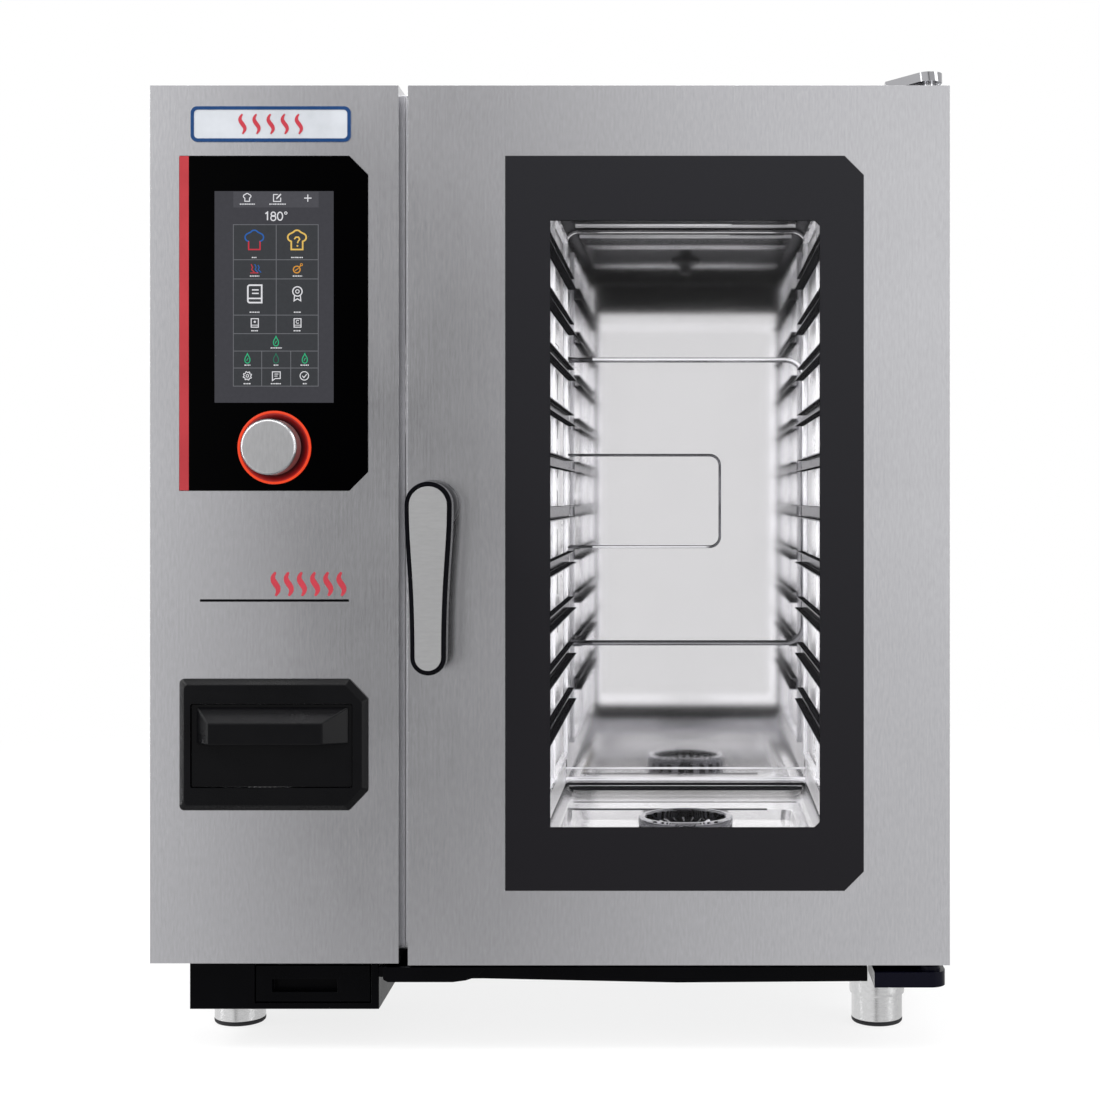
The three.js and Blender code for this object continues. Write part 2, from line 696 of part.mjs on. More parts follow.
// pull-out filter tray with a finger recess in its front
function airFilter() {
  const front = INTAKE.y[0];
  return cut(
    box(grow(FILTER_SLOT.x, -1), [front + 1, -195], grow(FILTER_SLOT.z, -1)),
    box([-300, -230], [front - 5, front + 12], [62, 76]),
    box([-312, -200], [front + 16, -201], [56, 95]),
  );
}

// ---------------------------------------------------------------- feet
// sleeve fixed to the chassis
function footSleeve(x, y) {
  const bore = LEG_RADIUS + 0.4;
  const top = CASE_BOTTOM - 0.1;
  const profile = [
    [bore, 33], [SLEEVE_RADIUS - 2, 33], [SLEEVE_RADIUS, 38], [SLEEVE_RADIUS, top],
    [0, top], [0, 94], [bore, 94], [bore, 33],
  ];
  return turnZ(x, y, profile, 20);
}
// leg that screws out, with its threaded stem
function footLeg(x, y) {
  const profile = [[0, 5], [LEG_RADIUS, 5], [LEG_RADIUS, 66], [8, 66], [8, 88], [0, 88]];
  return turnZ(x, y, profile, 20);
}
function footPad(x, y) {
  const profile = [[0, 0], [26, 0], [LEG_RADIUS, 2.2], [LEG_RADIUS, 4.9], [0, 4.9]];
  return turnZ(x, y, profile, 20);
}

// ---------------------------------------------------------------- condensate gutter
// shallow trough under the door, falling towards the middle, with a lug at its left end
function dripGutter() {
  const [left, right] = [-183, 338];
  const trough = (lift, inset) => [
    [left + inset, 97],
    [left + inset, 82 + lift],
    [-72, 80.4 + lift],
    [135, 76 + lift],
    [right - inset, 77.5 + lift],
    [right - inset, 97],
  ];
  // x, z
  const lug = [
    [-178, 93], [-178, 80], [-173, 77.2], [-104, 77.2],
    [-90, 79], [-78, 83], [-70, 91], [-72, 93],
  ];
  return cut(
    join(
      plateXZ(trough(0, 0), [-394, -342]),
      plateXZ(lug, [-397, -392.8]),
      box([left + 1, right - 1], [-346, -342], [90, 100.7]),
    ),
    plateXZ(trough(2.5, 2.5), [-391.5, -344.5]),
    box([-200, 350], [-400, -346], [93, 99]),
  );
}

// ---------------------------------------------------------------- hinges and latch keeper
// Brackets: rounded arm, foot on the casing, stud on the hinge axis
const pivotRod = (z, radius) => rodZ(PIVOT.x, PIVOT.y, z, radius, 20);
function hingeBracketTop() {
  const [left, right] = [362, 419];
  const [front, back] = [-345, -270];
  const arm = [
    ...arc({ ...PIVOT, radius: 14, from: -150, to: 10, steps: 10 }),
    [right, front],
    [right, back],
    [left, back],
    [left, front],
  ];
  return join(
    plateXY(arm, [1037, 1047]),
    box([left, right], [front, back], [TOP, 1038]),
    pivotRod([1008, 1040], 6),
  );
}
function hingeBracketBottom() {
  const [left, right] = [345, 422];
  const back = -327;
  const arm = [
    ...arc({ ...PIVOT, radius: 17, from: -90, to: 0, steps: 8 }),
    [right, back],
    [left, back],
    [left, -399],
  ];
  return join(
    plateXY(arm, [72, 88]),
    box([left, right], [-341, back], [86, CASE_BOTTOM - SHEET]),
    pivotRod([87, 124], 6),
    pivotRod([87, 93], 12),
  );
}
// plate and block the latch hook turns up to
function latchKeeper() {
  return join(
    box([-84, -62], [-352.5, FRAME], [555, 615]),
    box([-83, -71], [-357.4, -351], [572, 598]),
  );
}

// ---------------------------------------------------------------- exhaust and water
const ventRod = (z, radius, sides) => rodZ(VENT.x, VENT.y, z, radius, sides);
// exhaust pipe with a collar on the top panel
function ventPipe() {
  return cut(
    join(
      ventRod([CAVITY.ceiling + SHEET + FIT, 1072], VENT.pipeRadius),
      ventRod([TOP, TOP + 3], 42),
    ),
    ventRod([980, 1080], VENT.boreRadius),
  );
}
// damper disc on a pin along X
function ventFlap() {
  return join(
    ventRod(around(VENT.flapZ, 1), VENT.boreRadius - 1, 32),
    rodX(around(VENT.x, 24.6), VENT.y, VENT.flapZ, 2.4, 10),
  );
}
// water connection at the rear: pipe with a hexagonal nut
function waterInlet() {
  return join(
    rodY(WATER.x, [390, 428], WATER.z, 10, 20),
    rodY(WATER.x, [BACK, 407], WATER.z, 16, 6),
  );
}

// ---------------------------------------------------------------- door
// folded outer skin, open to the rear
function doorSkin() {
  const { left, bottom, back } = DOOR;
  return cut(
    box([left, RIGHT], [FRONT, back], [bottom, TOP]),
    box([left + SHEET, RIGHT - SHEET], [FRONT + SHEET, back + 5], [bottom + SHEET, TOP - SHEET]),
    plateXZ(clipped(GLASS, GLASS_GAP), around(FRONT, 5)),
    rodY(HUB.x, around(FRONT, 5), HUB.z, 10),
    pivotRod(around(bottom, 5), 7),
    pivotRod(around(TOP, 5), 7),
  );
}
// sheet closing the rear of the skin, with a deep frame round its window
function doorInnerPan() {
  const { left, bottom, back } = DOOR;
  const windowX = [-12, 299];
  const windowZ = [230, 900];
  return cut(
    join(
      box([left + SHEET, RIGHT - SHEET], [back - SHEET, back], [bottom + SHEET, TOP - SHEET]),
      box(grow(windowX, 4), [-394, back - 1], grow(windowZ, 4)),
    ),
    box(windowX, [-400, -340], windowZ),
    rodY(HUB.x, [-370, -350], HUB.z, 9),
  );
}
const doorGlassOuter = () => plateXZ(clipped(GLASS), [FRONT - 0.5, FRONT + 5.5]);
const doorGlassInner = () =>
  plateXZ(rounded([-28, 315], [214, 916], 10, 4), [DOOR.back + FIT, -354.2]);

// ---------------------------------------------------------------- lever handle
// lever hanging from its hub, the waist drawn in smoothly from hub to tip
const leverOutline = (hubRadius, tipRadius) => {
  const shape = new THREE.Shape();
  shape.moveTo(-hubRadius, 0);
  shape.absarc(0, 0, hubRadius, Math.PI, 0, true);
  shape.bezierCurveTo(hubRadius, -48, tipRadius, -72, tipRadius, -LEVER.length);
  shape.absarc(0, -LEVER.length, tipRadius, 0, -Math.PI, true);
  shape.bezierCurveTo(-tipRadius, -72, -hubRadius, -48, -hubRadius, 0);
  return shape;
};
const hubRod = (y, radius, sides) => rodY(HUB.x, y, HUB.z, radius, sides);
// black shell with its neck, bored for the spindle
function handleShell() {
  const { front, face } = LEVER;
  return cut(
    join(
      hubPlate(leverOutline(24.6, 18.6), [front + face, front + 18], 10),
      hubRod([front + 17, -405.3], 17, 28),
    ),
    hubRod([-431, -400], 7.3),
  );
}
const handleFace = () =>
  hubPlate(leverOutline(20.8, 14.7), [LEVER.front, LEVER.front + LEVER.face], 10);
// spindle carrying the latch hook, which points to +X
function handleSpindle() {
  const hook = new THREE.Shape();
  hook.moveTo(0, -12);
  hook.lineTo(22, -8);
  hook.lineTo(33, -4);
  hook.lineTo(33, 4);
  hook.lineTo(22, 8);
  hook.lineTo(0, 12);
  hook.absarc(0, 0, 12, Math.PI / 2, 1.5 * Math.PI, false);
  return join(hubRod([-430, -353], 7), hubPlate(hook, [-357.5, -352.5], 8));
}
function handleRosette() {
  const profile = [[0, -400], [27, -400], [27, -402.5], [25, -404.8], [0, -404.8]];
  return cut(turnY(HUB.x, HUB.z, profile, 32), hubRod([-410, -395], 8));
}

// ---------------------------------------------------------------- assembly
// Adds a group at an offset from its parent and records where it lies in the oven's frame.
function groupAt(parent, x, y, z) {
  const group = new THREE.Group();
  group.position.set(x, y, z);
  group.userData.origin = [x, y, z].map((value, i) => value + parent.userData.origin[i]);
  parent.add(group);
  return group;
}
// Puts a solid, modelled in the oven's frame, into a group as a named mesh.
function place(group, name, part, material) {
  const { numVert, numProp, vertProperties, triVerts } = part.getMesh();
  const positions = new Float32Array(numVert * 3);
  for (let i = 0; i < numVert; i++) {
    positions.set(vertProperties.subarray(i * numProp, i * numProp + 3), i * 3);
  }
  const geometry = new THREE.BufferGeometry();
  geometry.setAttribute("position", new THREE.BufferAttribute(positions, 3));
  geometry.setIndex(new THREE.BufferAttribute(new Uint32Array(triVerts), 1));
  const [x, y, z] = group.userData.origin;
  geometry.translate(-x, -y, -z);
  geometry.computeVertexNormals();
  const mesh = new THREE.Mesh(geometry, material);
  mesh.name = name;
  group.add(mesh);
}

const oven = new THREE.Group();
oven.userData.origin = [0, 0, 0];
const cabinet = groupAt(oven, 0, 0, 0);
const door = groupAt(oven, PIVOT.x, PIVOT.y, 0);

place(cabinet, "base_frame", baseFrame(), GALVANISED);
place(cabinet, "bottom_plate", bottomPlate(), BRUSHED);
place(cabinet, "left_side_panel", leftSidePanel(), BRUSHED);
place(cabinet, "right_side_panel", sidePanel(RIGHT, -1, FRAME + SHEET), BRUSHED);
place(cabinet, "top_panel", topPanel(), BRUSHED);
place(cabinet, "rear_panel", rearPanel(), BRUSHED);
place(cabinet, "front_frame", frontFrame(), BRUSHED);
place(cabinet, "cavity_liner", cavityLiner(), POLISHED);
place(cabinet, "insulation_jacket", insulationJacket(), WOOL);
place(cabinet, "fan_baffle", fanBaffle(), POLISHED);

const fan = groupAt(cabinet, FAN.x, FAN.y, FAN.z);
place(fan, "fan_wheel", fanWheel(), POLISHED);

place(cabinet, "fan_motor", fanMotor(), DARK_STEEL);
place(cabinet, "heating_element", heatingElement(), DARK_STEEL);
place(cabinet, "rack_left", rackLeft(), POLISHED);
place(cabinet, "rack_right", join(...rack(1)), POLISHED);
place(cabinet, "drain_strainer", drainStrainer(), POLISHED);
place(cabinet, "drain_pipe", drainPipe(), BLACK);
place(cabinet, "spray_head", sprayHead(), POLISHED);
place(cabinet, "door_gasket", doorGasket(), SILICONE);
place(cabinet, "steam_generator", steamGenerator(), GALVANISED);
place(cabinet, "control_board_case", controlBoardCase(), BLACK);
place(cabinet, "control_fascia", controlFascia(), BRUSHED);
place(cabinet, "control_glass", controlGlass(), GLOSS_BLACK);
place(cabinet, "display_screen", displayScreen(), SCREEN_GREY);
place(cabinet, "knob_light_ring", knobLightRing(), LIGHT);

// the cap turns inside the group that pushes in
const knobPush = groupAt(cabinet, KNOB.x, FRONT, KNOB.z);
place(knobPush, "encoder_plunger", encoderPlunger(), DARK_STEEL);
const knob = groupAt(knobPush, 0, 0, 0);
place(knob, "knob_cap", knobCap(), BRUSHED);

place(cabinet, "drawer_bezel", drawerBezel(), BLACK);
place(cabinet, "drawer_housing", drawerHousing(), GALVANISED);
const drawer = groupAt(cabinet, middle(DRAWER.x), FRONT, middle(DRAWER.z));
place(drawer, "drawer_front", drawerFront(), BLACK);
place(drawer, "drawer_tray", drawerTray(), GALVANISED);

place(cabinet, "air_intake_box", airIntakeBox(), BLACK);
const filter = groupAt(cabinet, middle(FILTER_SLOT.x), INTAKE.y[0], middle(FILTER_SLOT.z));
place(filter, "air_filter", airFilter(), BLACK);

for (const [corner, [x, y]] of Object.entries(FEET)) {
  const fixed = groupAt(cabinet, x, y, 0);
  place(fixed, "foot_sleeve_" + corner, footSleeve(x, y), BRUSHED);
  const leg = groupAt(fixed, 0, 0, 0);
  place(leg, "foot_leg_" + corner, footLeg(x, y), BRUSHED);
  place(leg, "foot_pad_" + corner, footPad(x, y), RUBBER);
}

place(cabinet, "drip_gutter", dripGutter(), BLACK);
place(cabinet, "hinge_bracket_top", hingeBracketTop(), POLISHED);
place(cabinet, "hinge_bracket_bottom", hingeBracketBottom(), DARK_STEEL);
place(cabinet, "latch_keeper", latchKeeper(), POLISHED);
place(cabinet, "vent_pipe", ventPipe(), BRUSHED);
const flap = groupAt(cabinet, VENT.x, VENT.y, VENT.flapZ);
place(flap, "vent_flap", ventFlap(), BRUSHED);
place(cabinet, "water_inlet", waterInlet(), BRASS);

place(door, "door_skin", doorSkin(), BRUSHED);
place(door, "door_inner_pan", doorInnerPan(), POLISHED);
place(door, "door_glass_outer", doorGlassOuter(), PANE);
place(door, "door_glass_inner", doorGlassInner(), PANE);
const handle = groupAt(door, HUB.x - PIVOT.x, FRONT - PIVOT.y, HUB.z);
place(handle, "handle_shell", handleShell(), BLACK);
place(handle, "handle_face", handleFace(), BRUSHED);
place(handle, "handle_spindle", handleSpindle(), DARK_STEEL);
place(door, "handle_rosette", handleRosette(), DARK_STEEL);

export default oven;
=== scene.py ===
"""Combi steamer oven: materials and finished pieces round the CAD frame, floor, lights, camera.

The oven stands on z = 0 and faces -Y, with x running to the right as seen from the front.
The control fascia is on the left, the door and the cavity behind it on the right.
Meshes are drawn in millimetres and scaled to metres; shaders, lights and camera are in metres.
"""

import json
import math
import bpy
import bmesh
from mathutils import Matrix, Vector
from mathutils.geometry import tessellate_polygon

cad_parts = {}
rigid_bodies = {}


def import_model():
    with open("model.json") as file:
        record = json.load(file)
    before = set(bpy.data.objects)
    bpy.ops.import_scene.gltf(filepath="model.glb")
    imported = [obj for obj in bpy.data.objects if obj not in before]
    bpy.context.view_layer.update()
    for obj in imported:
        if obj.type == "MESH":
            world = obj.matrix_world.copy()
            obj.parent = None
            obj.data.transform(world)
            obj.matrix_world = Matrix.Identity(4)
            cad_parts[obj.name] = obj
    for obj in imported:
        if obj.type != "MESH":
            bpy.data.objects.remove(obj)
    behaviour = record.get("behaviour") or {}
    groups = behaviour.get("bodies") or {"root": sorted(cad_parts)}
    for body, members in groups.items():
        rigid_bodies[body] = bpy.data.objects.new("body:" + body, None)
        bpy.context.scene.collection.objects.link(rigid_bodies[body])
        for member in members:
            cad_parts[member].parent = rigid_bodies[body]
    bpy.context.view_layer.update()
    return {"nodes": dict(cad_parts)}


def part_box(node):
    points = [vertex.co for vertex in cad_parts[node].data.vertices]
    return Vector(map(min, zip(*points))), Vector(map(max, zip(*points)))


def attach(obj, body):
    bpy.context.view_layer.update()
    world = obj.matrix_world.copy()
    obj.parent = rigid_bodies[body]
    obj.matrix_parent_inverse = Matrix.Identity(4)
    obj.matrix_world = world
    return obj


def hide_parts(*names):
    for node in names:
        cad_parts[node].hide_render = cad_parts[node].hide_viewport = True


for old in list(bpy.data.objects):
    bpy.data.objects.remove(old)

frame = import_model()
nodes = frame["nodes"]
scene = bpy.context.scene

MM = 0.001
TAU = 2 * math.pi
FRONT_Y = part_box("door_skin")[0].y / MM  # front plane of door and fascia
PANEL_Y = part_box("control_glass")[0].y / MM  # front plane of the control glass
CAVITY_LEFT, CAVITY_RIGHT = -34, 322
CAVITY_LOW, CAVITY_HIGH = 164, 985
CAVITY_CORNER = 22
MID_X = (CAVITY_LEFT + CAVITY_RIGHT) / 2
HANDLE_HUB = (-123.0, 585.0)  # x, z
KNOB = (-292.7, 646.2)  # x, z
DRAIN = (MID_X, 60.0)  # x, y


# ------------------------------------------------------------------ shader helpers
MID = (0.3, 0.7)  # where most noise values fall


def opaque(value):
    """Colour tuples get alpha 1; sockets and numbers pass unchanged."""
    return (*value[:3], 1) if isinstance(value, tuple) else value


def dimmed(tone, factor):
    return tuple(factor * channel for channel in tone)


def grained(axis, across, along):
    """Texture scale for grain along an axis; 'along' is its share of the scale across."""
    return tuple(across * (along if letter == axis else 1) for letter in "XYZ")


class Shader:
    """Node tree of a material or world, with short calls for the usual nodes."""

    def __init__(self, owner, space="Object"):
        self.owner = owner
        owner.use_nodes = True
        self.tree = owner.node_tree
        self.tree.nodes.clear()
        self.coord = self.node("TexCoord").outputs[space]

    def node(self, kind, inputs=None, **props):
        node = self.tree.nodes.new("ShaderNode" + kind)
        for key, value in props.items():
            setattr(node, key, value)
        for key, value in (inputs or {}).items():
            if isinstance(value, bpy.types.NodeSocket):
                self.tree.links.new(value, node.inputs[key])
            else:
                node.inputs[key].default_value = value
        return node

    def noise(self, scale, detail=4.0, rough=0.6):
        """A tuple scale stretches the coordinates; a number is the noise's own scale."""
        vector = self.coord
        if isinstance(scale, tuple):
            vector = self.node("Mapping", {"Vector": vector, "Scale": scale}).outputs[0]
            scale = 1.0
        inputs = {"Vector": vector, "Scale": scale, "Detail": detail, "Roughness": rough}
        return self.node("TexNoise", inputs).outputs["Fac"]

    def math(self, operation, first, second=0.0):
        return self.node("Math", {0: first, 1: second}, operation=operation).outputs[0]

    def mul(self, first, second):
        return self.math("MULTIPLY", first, second)

    def plus(self, first, second):
        return self.math("ADD", first, second)

    def length(self, first, second):
        squares = self.plus(self.mul(first, first), self.mul(second, second))
        return self.math("SQRT", squares)

    def span(self, value, over, to=(0, 1)):
        """Maps the range 'over' onto the range 'to', clamped."""
        inputs = {"Value": value, "From Min": over[0], "From Max": over[1]}
        inputs.update({"To Min": to[0], "To Max": to[1]})
        return self.node("MapRange", inputs).outputs[0]

    def mix(self, factor, first, second, blend_type="MIX"):
        inputs = {0: factor, 6: opaque(first), 7: opaque(second)}
        return self.node("Mix", inputs, data_type="RGBA", blend_type=blend_type).outputs[2]

    def mix_value(self, factor, first, second):
        return self.node("Mix", {0: factor, 2: first, 3: second}).outputs[0]

    def mix_shader(self, factor, first, second):
        return self.node("MixShader", {0: factor, 1: first, 2: second}).outputs[0]

    def bump(self, height, strength, distance, normal=None):
        inputs = {"Height": height, "Strength": strength, "Distance": distance}
        if normal is not None:
            inputs["Normal"] = normal
        return self.node("Bump", inputs).outputs[0]

    def normal(self, kind="Normal"):
        return self.node("NewGeometry").outputs[kind]

    def split(self, vector):
        return self.node("SeparateXYZ", {0: vector}).outputs

    def xyz(self):
        return self.split(self.coord)

    def ray(self, kind):
        return self.node("LightPath").outputs[kind]

    def glass(self, tint, rough, reflect):
        """Thin clear pane; 'reflect' scales its mirror share."""
        through = self.node("BsdfTransparent", {"Color": opaque(tint)}).outputs[0]
        mirror = {"Color": (1, 1, 1, 1), "Roughness": rough}
        mirror = self.node("BsdfGlossy", mirror).outputs[0]
        fresnel = self.node("Fresnel", {"IOR": 1.45}).outputs[0]
        return self.mix_shader(self.mul(fresnel, reflect), through, mirror)

    def principled(self, **inputs):
        inputs = {key.replace("_", " "): opaque(value) for key, value in inputs.items()}
        return self.node("BsdfPrincipled", inputs).outputs[0]

    def output(self, shader):
        self.node("OutputMaterial", {"Surface": shader})
        return self.owner

    def finish(self, **inputs):
        return self.output(self.principled(**inputs))


def material(name):
    return Shader(bpy.data.materials.new(name))


def srgb(*channels):
    """Linear colour from 0-255 sRGB channels."""
    return tuple(
        ((level / 255 + 0.055) / 1.055) ** 2.4 if level > 10 else level / 255 / 12.92
        for level in channels
    )


# ------------------------------------------------------------------ kinds of material
def brushed(name, grain="Z", tone=(0.60, 0.598, 0.622), rough=0.18, wear=1.0, aniso=0.45, edge=0.0):
    """Steel brushed along an axis; 'edge' sets the strength of a painted highlight on faces that
    turn away from the axes.
    """
    mat = material(name)
    coarse = mat.noise(grained(grain, across=620, along=0.012), detail=6, rough=0.75)
    fine = mat.noise(grained(grain, across=2600, along=0.012), detail=3, rough=0.7)
    short = mat.noise(grained(grain, across=1500, along=0.07), detail=2, rough=0.5)
    cloud = mat.noise(5.5, detail=3, rough=0.55)
    # shares of the three grain sizes in the streaks
    streak = mat.plus(mat.mul(coarse, 0.45), mat.plus(mat.mul(fine, 0.3), mat.mul(short, 0.25)))
    fleck = mat.noise(grained(grain, across=430, along=0.22), detail=2, rough=0.6)
    shade = mat.span(streak, over=MID, to=(1 - 0.05 * wear, 1 + 0.04 * wear))
    shade = mat.mul(shade, mat.span(fleck, over=MID, to=(1 - 0.05 * wear, 1 + 0.05 * wear)))
    shade = mat.mul(shade, mat.span(cloud, over=MID, to=(0.975, 1.02)))
    color = mat.mix(1.0, tone, (1, 1, 1), "MULTIPLY")
    color = mat.node("VectorMath", {0: color, "Scale": shade}, operation="SCALE").outputs[0]
    roughness = mat.span(streak, over=MID, to=(rough + 0.07 * wear, rough - 0.05 * wear))
    roughness = mat.plus(roughness, mat.span(cloud, over=MID, to=(0.02, -0.02)))
    relief = mat.bump(streak, strength=0.11 * wear, distance=0.00012)
    along = {i: int(letter == grain) for i, letter in enumerate("XYZ")}
    along = mat.node("CombineXYZ", along).outputs[0]
    face = mat.normal()
    cross = mat.node("VectorMath", {0: along, 1: face}, operation="CROSS_PRODUCT")
    inputs = dict(
        Metallic=1.0, Roughness=roughness, Normal=relief, Anisotropic=aniso,
        Tangent=cross.outputs[0],
    )
    if edge:
        # painted highlight on folded and cut edges: colour and glow brighter than the faces either
        # side
        largest = 0.0
        for component in mat.split(face):
            largest = mat.math("MAXIMUM", largest, mat.math("ABSOLUTE", component))
        painted_edge_highlight = mat.span(largest, over=(0.995, 0.93))
        color = mat.mix(painted_edge_highlight, color, (0.93, 0.93, 0.94))
        inputs.update(Emission_Color=(0.98, 0.98, 1.0), Emission_Strength=mat.mul(painted_edge_highlight, edge))
    return mat.finish(Base_Color=color, **inputs)


def polished(name, tone, rough, haze=1.0, wave=0.0):
    """Mirror steel, a little hazy; 'wave' adds slow unevenness."""
    mat = material(name)
    fine = mat.noise(grained("Z", across=1400, along=0.012), detail=3, rough=0.6)
    cloud = mat.noise(9, detail=4, rough=0.6)
    roughness = mat.plus(
        mat.span(cloud, over=(0.35, 0.7), to=(rough - 0.015, rough + 0.05 * haze)),
        mat.span(fine, over=MID, to=(-0.01, 0.01)),
    )
    color = mat.mix(mat.span(cloud, over=(0.3, 0.75), to=(0, 0.5)), tone, dimmed(tone, 0.9))
    relief = mat.bump(fine, strength=0.02 * haze, distance=0.0001)
    if wave:
        swell = mat.noise(6, detail=1, rough=0.4)
        relief = mat.bump(swell, strength=wave, distance=0.0006, normal=relief)
    return mat.finish(Base_Color=color, Metallic=1.0, Roughness=roughness, Normal=relief)


def moulded(name, tone, rough, grain=0.5, spec=0.35, size=1300):
    """Plastic, rubber or coating with a fine grain; 'size' is the grain's texture scale."""
    mat = material(name)
    texture = mat.noise((size,) * 3, detail=2, rough=0.5)
    cloud = mat.noise(14, detail=4, rough=0.6)
    roughness = mat.plus(
        mat.span(cloud, over=MID, to=(rough - 0.05, rough + 0.06)),
        mat.span(texture, over=MID, to=(-0.03, 0.03)),
    )
    return mat.finish(
        Base_Color=mat.mix(mat.span(cloud, over=(0.3, 0.75)), tone, dimmed(tone, 1.35)),
        Roughness=roughness,
        Specular_IOR_Level=spec,
        Normal=mat.bump(texture, strength=0.22 * grain, distance=0.00018),
    )


def glow(name, tone, spec=0.1):
    """Self-lit surface over near-black plastic."""
    mat = material(name)
    strength = mat.span(mat.noise(240, detail=1), over=MID, to=(0.94, 1.03))
    return mat.finish(
        Base_Color=(0.01, 0.01, 0.01), Roughness=0.25, Specular_IOR_Level=spec,
        Emission_Color=tone, Emission_Strength=strength,
    )


# ------------------------------------------------------------------ single materials
def cavity_steel():
    """Mirror-bright rear wall, pale satin side walls, roof darkened by painted shade, bright floor
    with a painted pool of light.
    """
    mat = material("steel_cavity_polished")
    tone = (0.84, 0.838, 0.845)
    face_x, face_y, face_z = mat.split(mat.normal())
    rear = mat.math("GREATER_THAN", mat.math("ABSOLUTE", face_y), 0.9)
    floor = mat.math("GREATER_THAN", face_z, 0.9)
    grain = mat.noise((900, 60, 900), detail=3, rough=0.6)
    cloud = mat.noise(7, detail=4, rough=0.6)
    rough = mat.plus(
        mat.span(cloud, over=MID, to=(0.15, 0.19)),
        mat.span(grain, over=MID, to=(-0.015, 0.015)),
    )
    roof = mat.math("LESS_THAN", face_z, -0.25)
    side = mat.math("GREATER_THAN", mat.math("ABSOLUTE", face_x), 0.9)
    rough = mat.plus(rough, mat.mul(side, 0.12))
    rough = mat.mix_value(floor, rough, 0.11)
    body = mat.mix(mat.span(cloud, over=(0.3, 0.75), to=(0, 0.5)), tone, dimmed(tone, 0.93))
    # painted shade: the roof gets a dark colour and dark-tinted reflections
    body = mat.mix(roof, body, (0.20, 0.197, 0.205))
    tint = mat.mix(roof, (1, 1, 1), (0.16, 0.16, 0.165))
    rough = mat.mix_value(rear, rough, mat.span(cloud, over=MID, to=(0.055, 0.07)))
    # side walls and floor are less metallic than the rest
    dull = mat.math("MAXIMUM", mat.mul(side, 0.62), mat.mul(floor, 0.3))
    metal = mat.math("SUBTRACT", 1.0, dull)
    # pool of light on the floor, weaker to reflections and towards the front and both sides
    x, y, _ = mat.xyz()
    seen = mat.span(mat.ray("Is Camera Ray"), over=(0, 1), to=(0.30, 1))
    pool = mat.mul(
        mat.span(x, over=(0.006, 0.020), to=(0.18, 1)),
        mat.span(x, over=(0.300, 0.288), to=(0.18, 1)),
    )
    pool = mat.mul(pool, mat.span(y, over=(-0.20, -0.05), to=(0.2, 1)))
    pool = mat.mul(mat.mul(pool, floor), mat.mul(seen, 0.26))
    return mat.finish(
        Base_Color=body, Metallic=metal, Roughness=rough, Specular_Tint=tint,
        Normal=mat.bump(grain, strength=0.02, distance=0.0001),
        Emission_Color=(1.0, 0.995, 0.985), Emission_Strength=pool,
    )


def rack_steel():
    """Bright rail webs; the flat running faces of the rails are painted near black as painted
    shade.
    """
    mat = material("steel_rack_polished")
    face_z = mat.split(mat.normal("True Normal"))[2]
    # painted shade: flat faces get a near-black colour, no metal and no reflection
    flat = mat.math("GREATER_THAN", mat.math("ABSOLUTE", face_z), 0.8)
    cloud = mat.noise((60, 60, 60), detail=3, rough=0.6)
    light = mat.mix(mat.span(cloud, over=MID), (0.22, 0.215, 0.235), (0.32, 0.315, 0.335))
    dark = mat.span(cloud, over=(0.4, 0.75))
    dark = mat.mix(dark, (0.0015, 0.0015, 0.002), (0.010, 0.010, 0.012))
    return mat.finish(
        Base_Color=mat.mix(flat, light, dark),
        Metallic=mat.math("SUBTRACT", 1.0, flat),
        Roughness=mat.span(cloud, over=MID, to=(0.10, 0.16)),
        Specular_Tint=(0.42, 0.42, 0.44),
        IOR=1.0,
    )


def rod_steel():
    """Bright drawn rod with a soft satin body."""
    mat = material("steel_rack_upright")
    haze = mat.noise((300, 300, 20), detail=3, rough=0.6)
    tone = mat.mix(mat.span(haze, over=MID), (0.80, 0.80, 0.82), (0.88, 0.88, 0.90))
    rough = mat.span(haze, over=MID, to=(0.10, 0.2))
    return mat.finish(Base_Color=tone, Metallic=0.5, Roughness=rough)


def foot_bead_steel():
    """Polished bead with a painted highlight glowing along its upper half."""
    mat = material("steel_foot_bead")
    face_z = mat.split(mat.normal())[2]
    haze = mat.noise((12, 12, 60), detail=3, rough=0.6)
    lit = mat.mul(
        mat.span(face_z, over=(-0.5, 0.5), to=(0.25, 1)),
        mat.span(haze, over=MID, to=(0.8, 1.1)),
    )
    return mat.finish(
        Base_Color=(0.8, 0.8, 0.82), Metallic=1.0, Roughness=0.14,
        Emission_Color=(0.97, 0.97, 1.0), Emission_Strength=mat.mul(lit, 0.62),
    )


